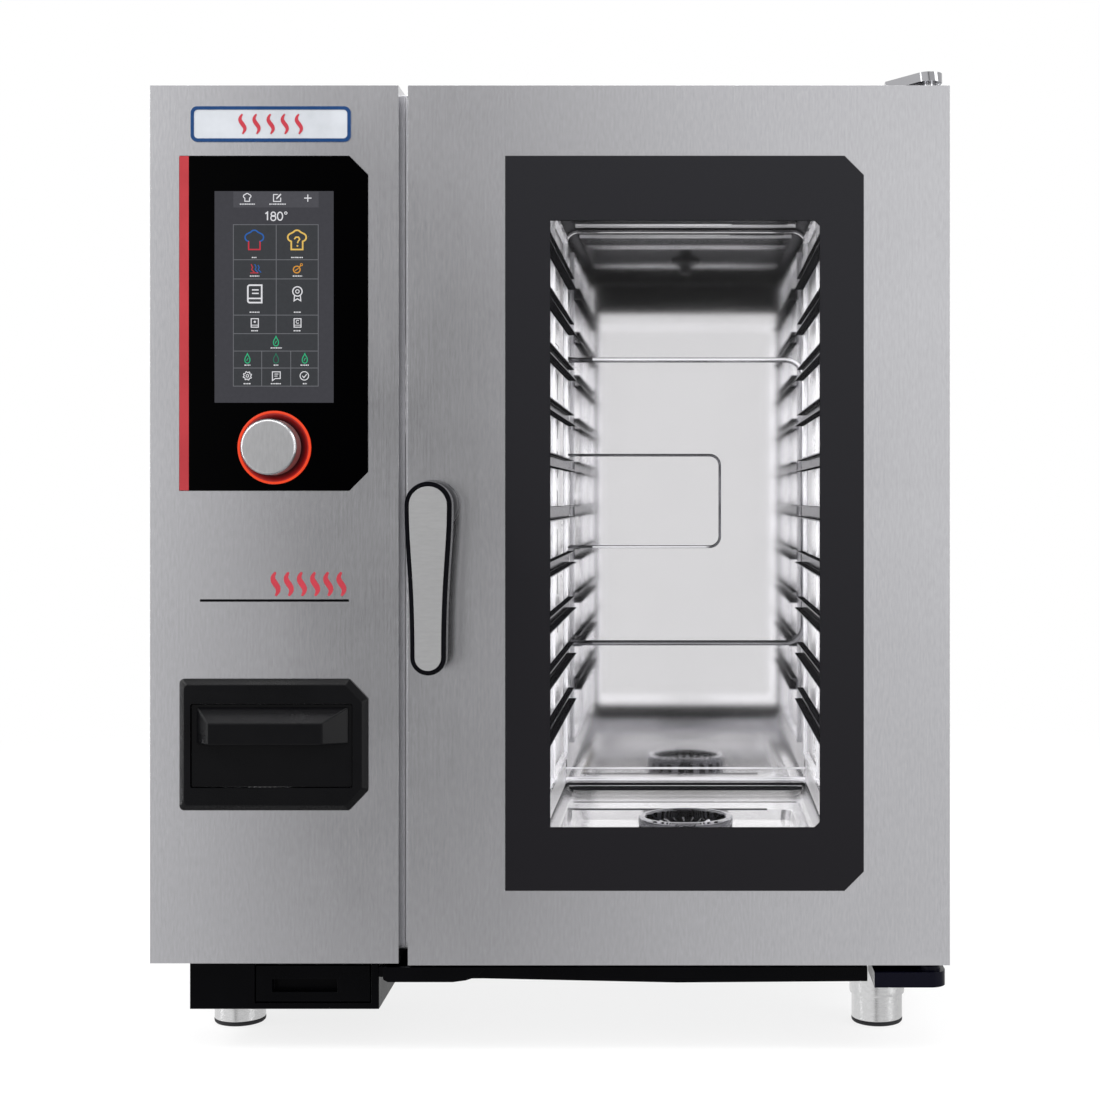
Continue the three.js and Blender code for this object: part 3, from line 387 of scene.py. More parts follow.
def stop_wire(name, small):
    """Wire stop with painted light: bright with a painted highlight where lit, painted shade behind
    the left rack and, on the small loop, high up.
    """
    mat = material(name)
    x, _, z = mat.xyz()
    _, face_y, face_z = mat.split(mat.normal())
    haze = mat.noise((40, 40, 40), detail=3, rough=0.6)
    painted_light_share = mat.span(x, over=(0.0075, 0.0095))
    if small:
        painted_light_share = mat.mul(painted_light_share, mat.math("LESS_THAN", z, 0.5245))
        painted_light_share = mat.mul(painted_light_share, mat.span(x, over=(0.172, 0.180), to=(1, 0)))
    else:
        painted_light_share = mat.mul(painted_light_share, mat.span(z, over=(0.55, 0.70), to=(0.12, 1)))
    front = mat.mul(
        mat.span(mat.mul(face_y, -1.0), over=(0.35, 0.95)),
        mat.span(face_z, over=(-0.75, -0.15)),
    )
    # painted highlight: glow on the front-facing wire where it is lit
    lit = mat.mul(painted_light_share, front)
    return mat.finish(
        Base_Color=mat.mix(painted_light_share, (0.20, 0.20, 0.215), (0.62, 0.62, 0.64)),
        Metallic=1.0,
        Roughness=mat.span(haze, over=MID, to=(0.10, 0.18)),
        Specular_Tint=(0.4, 0.4, 0.4),
        Emission_Color=(0.97, 0.97, 1.0),
        Emission_Strength=mat.mul(lit, 0.75),
    )


def control_panel_glass():
    mat = material("glass_black_control")
    smear = mat.noise(11, detail=5, rough=0.65)
    return mat.finish(
        Base_Color=(0.0004, 0.0004, 0.0005),
        Roughness=mat.span(smear, over=(0.35, 0.75), to=(0.05, 0.10)),
        Specular_IOR_Level=0.02,
    )


def outer_pane():
    """Clear window with its right corners cut; the rest is printed black."""
    left, right, low, high, cut = 0.0, 0.2869, 0.2419, 0.8879, 0.0055
    mat = material("glass_door_outer")
    x, _, z = mat.xyz()
    inside = mat.math("GREATER_THAN", x, left)
    for value, limit, test in (
        (x, right, "LESS_THAN"), (z, low, "GREATER_THAN"), (z, high, "LESS_THAN"),
    ):
        inside = mat.mul(inside, mat.math(test, value, limit))
    top = mat.math("LESS_THAN", mat.plus(x, z), right + high - cut)
    bottom = mat.math("LESS_THAN", mat.math("SUBTRACT", x, z), right - low - cut)
    inside = mat.mul(inside, mat.mul(top, bottom))
    smear = mat.noise(7, detail=5, rough=0.6)
    ink = mat.mix(mat.span(z, over=(0.2, 0.95)), srgb(25, 24, 27), srgb(34, 34, 37))
    rough = mat.span(smear, over=MID, to=(0.16, 0.22))
    black = mat.principled(Base_Color=ink, Roughness=rough, Specular_IOR_Level=0.10)
    # mirror rays find the window darker than the camera does
    tint = mat.mix(mat.ray("Is Glossy Ray"), (0.955, 0.953, 0.957), (0.12, 0.12, 0.12))
    clear = mat.glass(tint, rough=0.02, reflect=0.35)
    return mat.output(mat.mix_shader(inside, black, clear))


def inner_pane():
    mat = material("glass_door_inner")
    smear = mat.noise(8, detail=5, rough=0.6)
    rough = mat.span(smear, over=MID, to=(0.01, 0.05))
    return mat.output(mat.glass((0.968, 0.966, 0.968), rough, reflect=0.3))


def recess_plastic():
    """Dark dish with painted light from the ring bleeding inwards."""
    mat = material("plastic_recess")
    x, _, z = mat.xyz()
    from_x = mat.math("SUBTRACT", x, KNOB[0] * MM)
    from_z = mat.math("SUBTRACT", z, KNOB[1] * MM)
    radius = mat.length(from_x, from_z)
    bleed = mat.math("POWER", mat.span(radius, over=(0.0265, 0.0368)), 2.6)
    bleed = mat.mul(bleed, mat.span(mat.noise(60, detail=2), over=MID, to=(0.85, 1.05)))
    return mat.finish(
        Base_Color=(0.012, 0.004, 0.006), Roughness=0.28, Specular_IOR_Level=0.5,
        Emission_Color=(0.40, 0.006, 0.002), Emission_Strength=bleed,
    )


def strainer_steel():
    """Mirror steel on the rim; painted shade makes the slotted wall darker and the dished bowl
    inside it near black.
    """
    mat = material("steel_drain_mirror")
    x, y, z = mat.xyz()
    from_x = mat.math("SUBTRACT", x, DRAIN[0] * MM)
    from_y = mat.math("SUBTRACT", y, DRAIN[1] * MM)
    radius = mat.length(from_x, from_y)
    bowl = mat.span(radius, over=(0.0535, 0.0510))
    haze = mat.noise(90, detail=3, rough=0.6)
    wall = mat.mul(
        mat.span(radius, over=(0.0585, 0.0600)), mat.span(z, over=(0.1775, 0.1745))
    )
    outside = mat.mix(wall, (0.72, 0.72, 0.745), (0.20, 0.20, 0.215))
    return mat.finish(
        Base_Color=mat.mix(bowl, outside, (0.035, 0.035, 0.04)),
        Metallic=1.0,
        Roughness=mat.span(haze, over=MID, to=(0.03, 0.09)),
        Specular_Tint=mat.mix(bowl, (1, 1, 1), (0.12, 0.12, 0.13)),
    )


# this steel carries a painted highlight along its edges
STEEL_Z = brushed("steel_brushed_vertical", wear=0.85, edge=0.22)
STEEL_Y = brushed("steel_brushed_depth", "Y", rough=0.3)
STEEL_KNOB = brushed("steel_knob_face", tone=(0.46, 0.46, 0.47), rough=0.34, wear=1.3)
STEEL_HANDLE = brushed(
    "steel_handle_face", "X", tone=(0.50, 0.50, 0.505), rough=0.36, wear=0.8
)
STEEL_FOOT = brushed(
    "steel_foot_turned", "X", tone=(0.66, 0.66, 0.665), rough=0.24, aniso=0.3
)
ZINC = brushed("steel_galvanised", "Y", tone=(0.45, 0.46, 0.47), rough=0.42, wear=0.5)
BRASS = brushed("brass_fitting", "Y", tone=(0.62, 0.43, 0.17), rough=0.3, wear=0.6)
CAVITY = cavity_steel()
RAIL = rack_steel()
ROD = rod_steel()
PANEL = control_panel_glass()
PANE_OUT = outer_pane()
PANE_IN = inner_pane()

WIRE = polished("steel_wire_polished", tone=(0.80, 0.80, 0.82), rough=0.06, haze=0.5)
HINGE = polished(
    "steel_hinge_polished", tone=(0.36, 0.36, 0.375), rough=0.10, haze=0.7, wave=0.04
)
DRAIN_STEEL = polished("steel_drain_polished", tone=(0.78, 0.78, 0.80), rough=0.05)
INNER = polished("steel_door_inner", tone=(0.74, 0.74, 0.76), rough=0.16)
# painted shade: dark steel lines where the floor is pressed
CREASE_SHADE = polished("pressed_line_painted_shade", tone=(0.16, 0.16, 0.175), rough=0.14)
LINE_LIGHT = polished("steel_roof_bead", tone=(0.9, 0.9, 0.91), rough=0.16)
LINE_BACK = polished("steel_roof_bead_back", tone=(0.95, 0.95, 0.96), rough=0.3)
LINE_FOOT = foot_bead_steel()

DARK = moulded(
    "steel_dark_coated", tone=(0.012, 0.012, 0.015), rough=0.38, spec=0.5, grain=0.35
)
BLACK = moulded("plastic_black", tone=(0.0016, 0.0016, 0.0021), rough=0.30, spec=0.11)
# darker copy of the black plastic: painted shade on the parts under the oven, and the own black of
# the fascia trim line
UNDERSIDE_SHADE_AND_TRIM_BLACK = moulded("black_underside_shade_and_trim", tone=(0.0008, 0.0008, 0.0012), rough=0.30, spec=0.05)
# painted shade: the lower hinge, steel in the shade under the door, is made near black
HINGE_SHADE = moulded(
    "hinge_painted_shade", tone=(0.0012, 0.0012, 0.005), rough=0.22, spec=0.10, grain=0.2
)
BLACK_SHINY = moulded(
    "plastic_black_handle", tone=(0.0012, 0.0012, 0.0024), rough=0.22, spec=0.12, grain=0.15
)
# painted shade: the spray head is darkened to sit with the shaded roof
SPRAY_SHADE = moulded(
    "spray_head_painted_shade", tone=(0.035, 0.035, 0.038), rough=0.5, spec=0.2, grain=0.2
)
RUBBER = moulded("rubber_foot", tone=(0.008, 0.008, 0.010), rough=0.7, size=700, grain=0.8)
SILICONE = moulded(
    "silicone_seal", tone=(0.012, 0.012, 0.013), rough=0.55, size=500, grain=0.4
)
WOOL = moulded(
    "mineral_wool", tone=(0.45, 0.38, 0.22), rough=0.95, size=260, grain=3.0, spec=0.05
)
RED_PRINT = moulded("print_red", tone=srgb(150, 44, 50), rough=0.32, spec=0.25, grain=0.1)
# painted shade: near-black lines laid in the grooves
GROOVE_SHADE = moulded(
    "groove_painted_shade", tone=(0.006, 0.006, 0.008), rough=0.35, spec=0.1, grain=0.1
)
DOOR_TRIM = moulded("door_trim_dark", tone=(0.0016, 0.0016, 0.002), rough=0.35, spec=0.08)
DRAIN_CORE = moulded("drain_shadow_core", tone=(0.004, 0.004, 0.004), rough=0.6, spec=0.1)
ENAMEL_BLUE = moulded("enamel_blue", tone=srgb(6, 48, 92), rough=0.26, grain=0.1)
ENAMEL_SILVER = moulded(
    "enamel_silver", tone=srgb(170, 173, 178), rough=0.3, spec=0.3, grain=0.1
)
ENAMEL_RED = moulded("enamel_red", tone=srgb(160, 46, 58), rough=0.3, spec=0.3, grain=0.1)


# ------------------------------------------------------------------ parts: (vertices, faces)
def placed(first, second, along, axis):
    """Point of a drawing plane and a distance along its normal axis (Y or Z), in metres."""
    point = (first, along, second) if axis == "Y" else (first, second, along)
    return tuple(value * MM for value in point)


def bridge(start, other, count):
    """Quads between two closed rings of vertices."""
    quads = []
    for i in range(count):
        j = (i + 1) % count
        quads.append((start + i, start + j, other + j, other + i))
    return quads


def triangles(loops):
    return tessellate_polygon([[Vector((*point, 0)) for point in loop] for loop in loops])


def prism(loops, start, end, axis="Y"):
    """Closed outline (and holes) extruded along an axis; axis Y takes XZ points, Z takes XY."""
    if not isinstance(loops[0][0], (tuple, list)):
        loops = [loops]
    points = [point for loop in loops for point in loop]
    count = len(points)
    caps = triangles(loops)
    verts = [placed(*point, along, axis) for along in (start, end) for point in points]
    faces = [(a, b, c) for a, b, c in caps]
    faces += [(c + count, b + count, a + count) for a, b, c in caps]
    first = 0
    for loop in loops:
        faces += bridge(first, first + count, len(loop))
        first += len(loop)
    return verts, faces


def turned(profile, centre, axis="Z", steps=64):
    """Profile of (radius, height) pairs turned about an axis through centre."""
    verts, faces = [], []
    count = len(profile)
    for i in range(steps):
        angle = TAU * i / steps
        for radius, height in profile:
            first = centre[0] + radius * math.cos(angle)
            second = centre[1] + radius * math.sin(angle)
            verts.append(placed(first, second, height, axis))
    for i in range(steps):
        j = (i + 1) % steps
        for k in range(count - 1):
            here, there = i * count + k, j * count + k
            faces.append((here, here + 1, there + 1, there))
    return verts, faces


def swept(rings):
    """Closed sweep of equal-count outlines, [(XZ outline, y), ...], last joined to first."""
    count = len(rings[0][0])
    verts = [placed(*point, y, "Y") for outline, y in rings for point in outline]
    faces = []
    for i in range(len(rings)):
        faces += bridge(i * count, (i + 1) % len(rings) * count, count)
    return verts, faces


def tube(points, radius, sides=10):
    """Round bar along a polyline, with parallel-transported rings and closed ends."""
    points = [Vector(point) for point in points]
    last = len(points) - 1
    verts, faces = [], []
    up = None
    for i, point in enumerate(points):
        tangent = (points[min(i + 1, last)] - points[max(i - 1, 0)]).normalized()
        if up is None:
            up = tangent.orthogonal().normalized()
        up = (up - tangent * up.dot(tangent)).normalized()
        side = tangent.cross(up)
        for k in range(sides):
            angle = TAU * k / sides
            offset = (radius * math.cos(angle), radius * math.sin(angle))
            verts.append(tuple((point + up * offset[0] + side * offset[1]) * MM))
    for i in range(last):
        faces += bridge(i * sides, (i + 1) * sides, sides)
    faces.append(tuple(range(sides)))
    faces.append(tuple(range(last * sides, (last + 1) * sides)))
    return verts, faces


def block(x0, x1, y0, y1, z0, z1):
    corners = [(x, y, z) for x in (x0, x1) for y in (y0, y1) for z in (z0, z1)]
    faces = [
        (0, 1, 3, 2), (4, 6, 7, 5), (0, 4, 5, 1), (2, 3, 7, 6), (0, 2, 6, 4), (1, 5, 7, 3),
    ]
    return [tuple(value * MM for value in corner) for corner in corners], faces


def hull(points):
    """Convex solid round the points."""
    bm = bmesh.new()
    for point in points:
        bm.verts.new([value * MM for value in point])
    bmesh.ops.convex_hull(bm, input=bm.verts)
    bmesh.ops.dissolve_limit(bm, angle_limit=0.01, verts=bm.verts, edges=bm.edges)
    bm.verts.index_update()
    verts = [tuple(vert.co) for vert in bm.verts]
    faces = [tuple(vert.index for vert in face.verts) for face in bm.faces]
    bm.free()
    return verts, faces


def together(*parts):
    verts, faces = [], []
    for part_verts, part_faces in parts:
        start = len(verts)
        verts += part_verts
        faces += [tuple(i + start for i in face) for face in part_faces]
    return verts, faces


def spun(part, angle, centre):
    """Part drawn round the origin, turned about Z and moved to centre (x, y)."""
    matrix = Matrix.Translation((centre[0] * MM, centre[1] * MM, 0))
    matrix = matrix @ Matrix.Rotation(angle, 4, "Z")
    verts, faces = part
    return [tuple(matrix @ Vector(vert)) for vert in verts], faces


# ------------------------------------------------------------------ outlines
def rounded(left, right, low, high, radius, steps=8):
    """Rectangle with round corners."""
    outline = []
    for x, z, start in (
        (right - radius, low + radius, -90), (right - radius, high - radius, 0),
        (left + radius, high - radius, 90), (left + radius, low + radius, 180),
    ):
        for i in range(steps + 1):
            angle = math.radians(start + 90 * i / steps)
            outline.append((x + radius * math.cos(angle), z + radius * math.sin(angle)))
    return outline


def fillet(points, radii, steps=6):
    """Polygon with each corner rounded by its own radius."""
    outline = []
    for i, (point, radius) in enumerate(zip(points, radii)):
        corner = Vector(point)
        back = (Vector(points[i - 1]) - corner).normalized()
        ahead = (Vector(points[(i + 1) % len(points)]) - corner).normalized()
        half = math.acos(max(-1, min(1, back.dot(ahead)))) / 2
        reach = radius / math.tan(half)
        centre = corner + (back + ahead).normalized() * (radius / math.sin(half))
        first = corner + back * reach - centre
        last = corner + ahead * reach - centre
        start = math.atan2(first.y, first.x)
        turn = (math.atan2(last.y, last.x) - start + math.pi) % TAU - math.pi
        for j in range(steps + 1):
            angle = start + turn * j / steps
            x = centre.x + radius * math.cos(angle)
            outline.append((x, centre.y + radius * math.sin(angle)))
    return outline


# ------------------------------------------------------------------ objects
def mesh_of(name, verts, faces, outward=True):
    mesh = bpy.data.meshes.new(name)
    bm = bmesh.new()
    corners = [bm.verts.new(vert) for vert in verts]
    for face in faces:
        if len(set(face)) > 2:
            try:
                bm.faces.new([corners[i] for i in face])
            except ValueError:
                # guards against a face that is already there or repeats a vertex
                pass
    bmesh.ops.remove_doubles(bm, verts=bm.verts, dist=1e-7)
    if outward:
        bmesh.ops.recalc_face_normals(bm, faces=bm.faces)
    bm.to_mesh(mesh)
    bm.free()
    return mesh


def link(name, data):
    obj = bpy.data.objects.new(name, data)
    scene.collection.objects.link(obj)
    return obj


def soften(obj, width, segments, angle):
    """Bevel on edges sharper than an angle in degrees."""
    bevel = obj.modifiers.new("bevel", "BEVEL")
    bevel.width = width * MM
    bevel.segments = segments
    bevel.limit_method = "ANGLE"
    bevel.angle_limit = math.radians(angle)


def even_normals(obj):
    weighted = obj.modifiers.new("weighted_normal", "WEIGHTED_NORMAL")
    weighted.mode = "FACE_AREA"
    weighted.weight = 85
    weighted.keep_sharp = True


def add(name, part, mat, body, bevel=0.0, seg=3, angle=35, replaces=(), sharp=38):
    """Object from a part, riding on a body and standing in for the CAD nodes it replaces."""
    mesh = mesh_of(name, *part)
    obj = link(name, mesh)
    mesh.materials.append(mat)
    mesh.polygons.foreach_set("use_smooth", [True] * len(mesh.polygons))
    if bevel:
        soften(obj, bevel, seg, angle)
    mesh.set_sharp_from_angle(angle=math.radians(sharp))
    even_normals(obj)
    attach(obj, body)
    if replaces:
        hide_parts(*replaces)


def sharp_group():
    """Node group that shades smooth and marks edges over a given angle sharp."""
    group = bpy.data.node_groups.new("sharp_by_angle", "GeometryNodeTree")
    for name, direction, kind in (
        ("Geometry", "INPUT", "Geometry"),
        ("Angle", "INPUT", "Float"),
        ("Geometry", "OUTPUT", "Geometry"),
    ):
        group.interface.new_socket(name, in_out=direction, socket_type="NodeSocket" + kind)
    start = group.nodes.new("NodeGroupInput")
    end = group.nodes.new("NodeGroupOutput")
    smooth = group.nodes.new("GeometryNodeSetShadeSmooth")
    crease = group.nodes.new("GeometryNodeSetShadeSmooth")
    crease.domain = "EDGE"
    crease.inputs["Shade Smooth"].default_value = False
    edge_angle = group.nodes.new("GeometryNodeInputMeshEdgeAngle")
    over = group.nodes.new("ShaderNodeMath")
    over.operation = "GREATER_THAN"
    for source, target in (
        (start.outputs["Geometry"], smooth.inputs["Geometry"]),
        (smooth.outputs[0], crease.inputs["Geometry"]),
        (edge_angle.outputs["Unsigned Angle"], over.inputs[0]),
        (start.outputs["Angle"], over.inputs[1]),
        (over.outputs[0], crease.inputs["Selection"]),
        (crease.outputs[0], end.inputs["Geometry"]),
    ):
        group.links.new(source, target)
    return group


SHARP = sharp_group()


def finish_node(name, mat, bevel):
    """Dresses a CAD node: welded, edges softened, new material. Its vertices stay."""
    obj = nodes[name]
    mesh = obj.data
    mesh.materials.clear()
    mesh.materials.append(mat)
    for attribute in ("custom_normal", "sharp_edge", "sharp_face"):
        if attribute in mesh.attributes:
            mesh.attributes.remove(mesh.attributes[attribute])
    weld = obj.modifiers.new("weld", "WELD")
    weld.merge_threshold = 4e-6
    crease = obj.modifiers.new("sharp", "NODES")
    crease.node_group = SHARP
    crease["Socket_1"] = math.radians(30)  # the group's Angle input
    if bevel:
        soften(obj, bevel, segments=2, angle=40)
    even_normals(obj)


# ------------------------------------------------------------------ CAD nodes that stay
for node_name, node_mat, node_bevel in (
    ("control_fascia", STEEL_Z, 0.9),
    ("door_skin", STEEL_Z, 0.9),
    ("left_side_panel", STEEL_Z, 0.5),
    ("right_side_panel", STEEL_Z, 0.5),
    ("rear_panel", STEEL_Z, 0.5),
    ("top_panel", STEEL_Y, 0.5),
    ("bottom_plate", ZINC, 0.3),
    ("base_frame", ZINC, 0.8),
    ("front_frame", STEEL_Z, 0.5),
    ("cavity_liner", CAVITY, 0),
    ("fan_baffle", CAVITY, 0.3),
    ("insulation_jacket", WOOL, 0),
    ("fan_wheel", CAVITY, 0),
    ("fan_motor", DARK, 0.8),
    ("heating_element", DARK, 0),
    ("drain_pipe", BLACK, 0.6),
    ("spray_head", SPRAY_SHADE, 0),
    ("steam_generator", ZINC, 1.0),
    ("control_board_case", BLACK, 1.0),
    ("control_glass", PANEL, 0.25),
    ("display_screen", PANEL, 0),
    ("encoder_plunger", DARK, 0),
    ("drawer_housing", ZINC, 0.3),
    ("drawer_tray", ZINC, 0.4),
    # under the oven: the air box and filter are black made darker by painted shade; the drip gutter
    # is near black as painted shade
    ("air_intake_box", UNDERSIDE_SHADE_AND_TRIM_BLACK, 0.8),
    ("air_filter", UNDERSIDE_SHADE_AND_TRIM_BLACK, 0.6),
    ("latch_keeper", WIRE, 0.8),
    ("vent_pipe", STEEL_Y, 0),
    ("vent_flap", STEEL_Y, 0.3),
    ("water_inlet", BRASS, 0.6),
    ("door_inner_pan", INNER, 0.8),
    ("door_glass_outer", PANE_OUT, 0.3),
    ("door_glass_inner", PANE_IN, 0.4),
    ("handle_spindle", DARK, 0.4),
    ("door_gasket", SILICONE, 1.2),
    ("drip_gutter", UNDERSIDE_SHADE_AND_TRIM_BLACK, 0.6),
    ("hinge_bracket_top", HINGE, 0.8),
    ("hinge_bracket_bottom", HINGE_SHADE, 1.0),
):
    finish_node(node_name, node_mat, node_bevel)


# ------------------------------------------------------------------ cavity and door trim
def cavity_outline(gap):
    return rounded(
        CAVITY_LEFT + gap, CAVITY_RIGHT - gap, CAVITY_LOW + gap, CAVITY_HIGH - gap,
        CAVITY_CORNER - gap,
    )


def cavity_cove():
    """Quarter-round cove where the walls meet the rear wall."""
    cove, gap, tangent_y, back_y = 4.5, 0.12, 356.85, 356.95
    rings = []
    for i in range(11):
        angle = math.pi / 2 * i / 10
        outline = cavity_outline(gap + cove - cove * math.cos(angle))
        rings.append((outline, tangent_y - cove + cove * math.sin(angle)))
    rings += [(cavity_outline(gap + cove), back_y), (cavity_outline(gap), back_y)]
    return swept(rings)


add("cavity_corner_cove", cavity_cove(), CAVITY, "cabinet", sharp=50)
add(
    "vent_inlet_cover", prism(rounded(210, 290, 260, 340, 6, 5), 984.1, 984.9, "Z"),
    CAVITY, "cabinet", bevel=0.2,
)

# lines across the floor pan, the foot of the rear wall and the roof
# name, y, z, radius, left x, right x, material
for line_name, line_y, line_z, line_radius, line_left, line_right, line_mat in (
    # the two floor lines are painted shade
    ("floor_edge_line", 190.4, 164.1, 1.3, -24, 256, CREASE_SHADE),
    ("floor_press_line", 252, 163.9, 0.9, -30, 300, CREASE_SHADE),
    ("rear_wall_bead", 356.4, 196.8, 1.5, -31, 319, LINE_FOOT),
    ("rear_foot_bead", 356.2, 180.6, 3.5, -31, 319, LINE_FOOT),
    # the grooves are painted shade
    ("rear_foot_groove", 356.6, 174.2, 1.9, -32, 320, GROOVE_SHADE),
    ("rear_foot_lip", 356.6, 171.4, 1.0, -28, 316, LINE_LIGHT),
    ("rear_floor_groove", 355.4, 167.6, 2.7, -32, 320, GROOVE_SHADE),
    ("roof_bead_rear", 182, 985.6, 5.0, -10, 298, LINE_LIGHT),
    ("roof_bead_front", -57, 985.6, 5.0, -10, 298, LINE_LIGHT),
    ("roof_bead_back", 303, 985.6, 5.0, -14, 302, LINE_BACK),
):
    line = tube([(line_left, line_y, line_z), (line_right, line_y, line_z)], line_radius)
    add(line_name, line, line_mat, "cabinet")

TRIM_LOOPS = [rounded(-35.5, 323.5, 187, 984, 10, 6), rounded(-27, 314, 215, 915, 4, 5)]
add(
    "door_window_trim", prism(TRIM_LOOPS, -358.9, -356.2), DOOR_TRIM, "door",
    bevel=0.6,
)


# ------------------------------------------------------------------ pan racks
RAIL_COUNT, RAIL_FIRST_Z, RAIL_PITCH = 10, 307, 65
ROD_OUT = 171  # uprights, from the cavity's middle
# rail section: distance out from the cavity's middle, height over the rail's own z
RAIL_SECTION = (
    (156, -2), (168, -2), (168, 15), (159, 15),
    (159, 13.4), (166.4, 13.4), (166.4, -0.4), (156, -0.4),
)


def rack(side, sign):
    """Rails with a raised outer web, three round uprights and two bars tying them."""
    rails = []
    for i in range(RAIL_COUNT):
        z = RAIL_FIRST_Z + RAIL_PITCH * i
        section = [(MID_X + sign * out, z + up) for out, up in RAIL_SECTION]
        rails.append(prism([section], -250, 290))
    rod_x = MID_X + sign * ROD_OUT
    rods = [tube([(rod_x, y, 226), (rod_x, y, 961)], 3.6, 16) for y in (-235, 20, 278)]
    rods += [block(rod_x - 3.8, rod_x + 3.8, -240, 283, z, z + 7) for z in (225, 955)]
    body, replaces = side + "_rack", ("rack_" + side,)
    add(
        "rack_" + side + "_rails", together(*rails), RAIL, body,
        bevel=0.25, seg=2, replaces=replaces,
    )
    add(
        "rack_" + side + "_uprights", together(*rods), ROD, body,
        replaces=replaces,
    )


rack("left", -1)
rack("right", 1)


def stop_loop(name, low, high, right, y, radius, corner, mat):
    """Wire loop from the left rack's rear upright along the rear wall, round and back."""
    lead = [(-27, 278), (-27, y - 20), (-25.5, y - 9), (-20, y - 2.5), (-11, y)]
    lead.append((right - corner, y))
    arc_x = right - corner
    angles = [math.pi / 2 * k / 8 for k in range(1, 8)]
    points = [(*point, high) for point in lead]
    for angle in angles:
        x = arc_x + corner * math.sin(angle)
        points.append((x, y, high - corner + corner * math.cos(angle)))
    points += [(right, y, high - corner), (right, y, low + corner)]
    for angle in angles:
        x = arc_x + corner * math.cos(angle)
        points.append((x, y, low + corner - corner * math.sin(angle)))
    points += [(*point, low) for point in reversed(lead)]
    add(
        name, tube(points, radius, 14), mat, "left_rack",
        replaces=("rack_left",),
    )


stop_loop(
    "rack_left_stop_large", low=380.5, high=794.5, right=316, y=345, radius=2.9, corner=26,
    mat=stop_wire("steel_wire_stop_large", small=False),
)
stop_loop(
    "rack_left_stop_small", low=521.2, high=655.3, right=194, y=344, radius=1.7, corner=15,
    mat=stop_wire("steel_wire_stop_small", small=True),
)


# ------------------------------------------------------------------ handle
def bezier(controls, share):
    """One coordinate of a cubic curve."""
    rest = 1 - share
    weights = (rest**3, 3 * rest * rest * share, 3 * rest * share**2, share**3)
    return sum(weight * control for weight, control in zip(weights, controls))


def lever(top_radius, end_radius, length=158.0, steps=28):
    """Door lever outline: round top on the hub, tapering to a narrower round end."""
    points = []
    for i in range(steps + 1):
        angle = math.pi - math.pi * i / steps
        points.append((top_radius * math.cos(angle), top_radius * math.sin(angle)))
    side = []
    for i in range(1, 18):
        x = bezier((top_radius, top_radius, end_radius, end_radius), i / 18)
        side.append((x, bezier((0, -48, -72, -length), i / 18)))
    points += side
    for i in range(steps + 1):
        angle = -math.pi * i / steps
        z = -length + end_radius * math.sin(angle)
        points.append((end_radius * math.cos(angle), z))
    points += [(-x, z) for x, z in reversed(side)]
    return [(x + HANDLE_HUB[0], z + HANDLE_HUB[1]) for x, z in points]


# radius, y
HANDLE_NECK = [
    (0, -433), (16, -433), (16, -424), (15, -412), (17, -406), (17, -405.2), (0, -405.2),
]
HANDLE_ROSETTE = [
    (8.2, -400.1), (26.8, -400.1), (27, -401.4), (26.2, -403), (24.4, -404.2),
    (21, -404.9), (8.2, -404.9), (8.2, -400.1),
]
add(
    "handle_body",
    together(
        prism(lever(24.6, 18.6), -447.4, -431.5),
        turned(HANDLE_NECK, HANDLE_HUB, "Y", 48),
    ),
    BLACK_SHINY, "handle", bevel=0.9, replaces=("handle_shell",),
)
add(
    "handle_inlay", prism(lever(19.6, 13.6), -450, -446.5),
    STEEL_HANDLE, "handle", bevel=0.7, replaces=("handle_face",),
)
add(
    "handle_base", turned(HANDLE_ROSETTE, HANDLE_HUB, "Y"),
    DARK, "door", replaces=("handle_rosette",),
)

# ------------------------------------------------------------------ selector knob
# radius, y
KNOB_PROFILE = [
    (0, -410), (24.5, -410), (26.4, -408), (27.6, -405), (29.2, -405), (29.5, -406),
    (29.5, -428.6), (29.1, -429.9), (28.0, -431.2), (27.2, -431.8), (26.2, -432), (0, -432),
]
RECESS_PROFILE = [
    (6.4, -393), (38.0, -393), (38.0, -400.9), (35.6, -400.9), (34.8, -400.4),
    (31, -398.2), (26, -397.4), (6.4, -397.4), (6.4, -393),
]
RING_PROFILE = [
    (36.5, -400.6), (39.0, -400.6), (39.0, -401.5), (38.7, -402.1), (37.8, -402.5),
    (36.8, -402.1), (36.5, -401.5), (36.5, -400.6),
]
add(
    "knob", turned(KNOB_PROFILE, KNOB, "Y", 96),
    STEEL_KNOB, "knob", replaces=("knob_cap",),
)
add(
    "knob_recess", turned(RECESS_PROFILE, KNOB, "Y", 96),
    recess_plastic(), "cabinet", replaces=("knob_light_ring",),
)
add(
    "knob_ring_light", turned(RING_PROFILE, KNOB, "Y", 128),
    glow("light_ring_red", (0.88, 0.058, 0.013)), "cabinet",
)

# ------------------------------------------------------------------ cartridge drawer
DRAWER_LEFT, DRAWER_RIGHT, DRAWER_LOW, DRAWER_HIGH = -380.3, -208.6, 285.5, 374.6
PANEL_GAP = 0.9


def bezel_outline(inset):
    """Rounded plate with both right corners cut, drawn in by an inset."""
    left, right, low, high = -393.1 + inset, -192.8 - inset, 261 + inset, 400.6 - inset
    cut_x = 20 - inset * 0.42
    cut_z = 21 - inset * 0.42
    points = [
        (left, low), (right - cut_x, low), (right, low + cut_z),
        (right, high - cut_z), (right - cut_x, high), (left, high),
    ]
    return fillet(points, [5, 4, 4, 4, 4, 5])


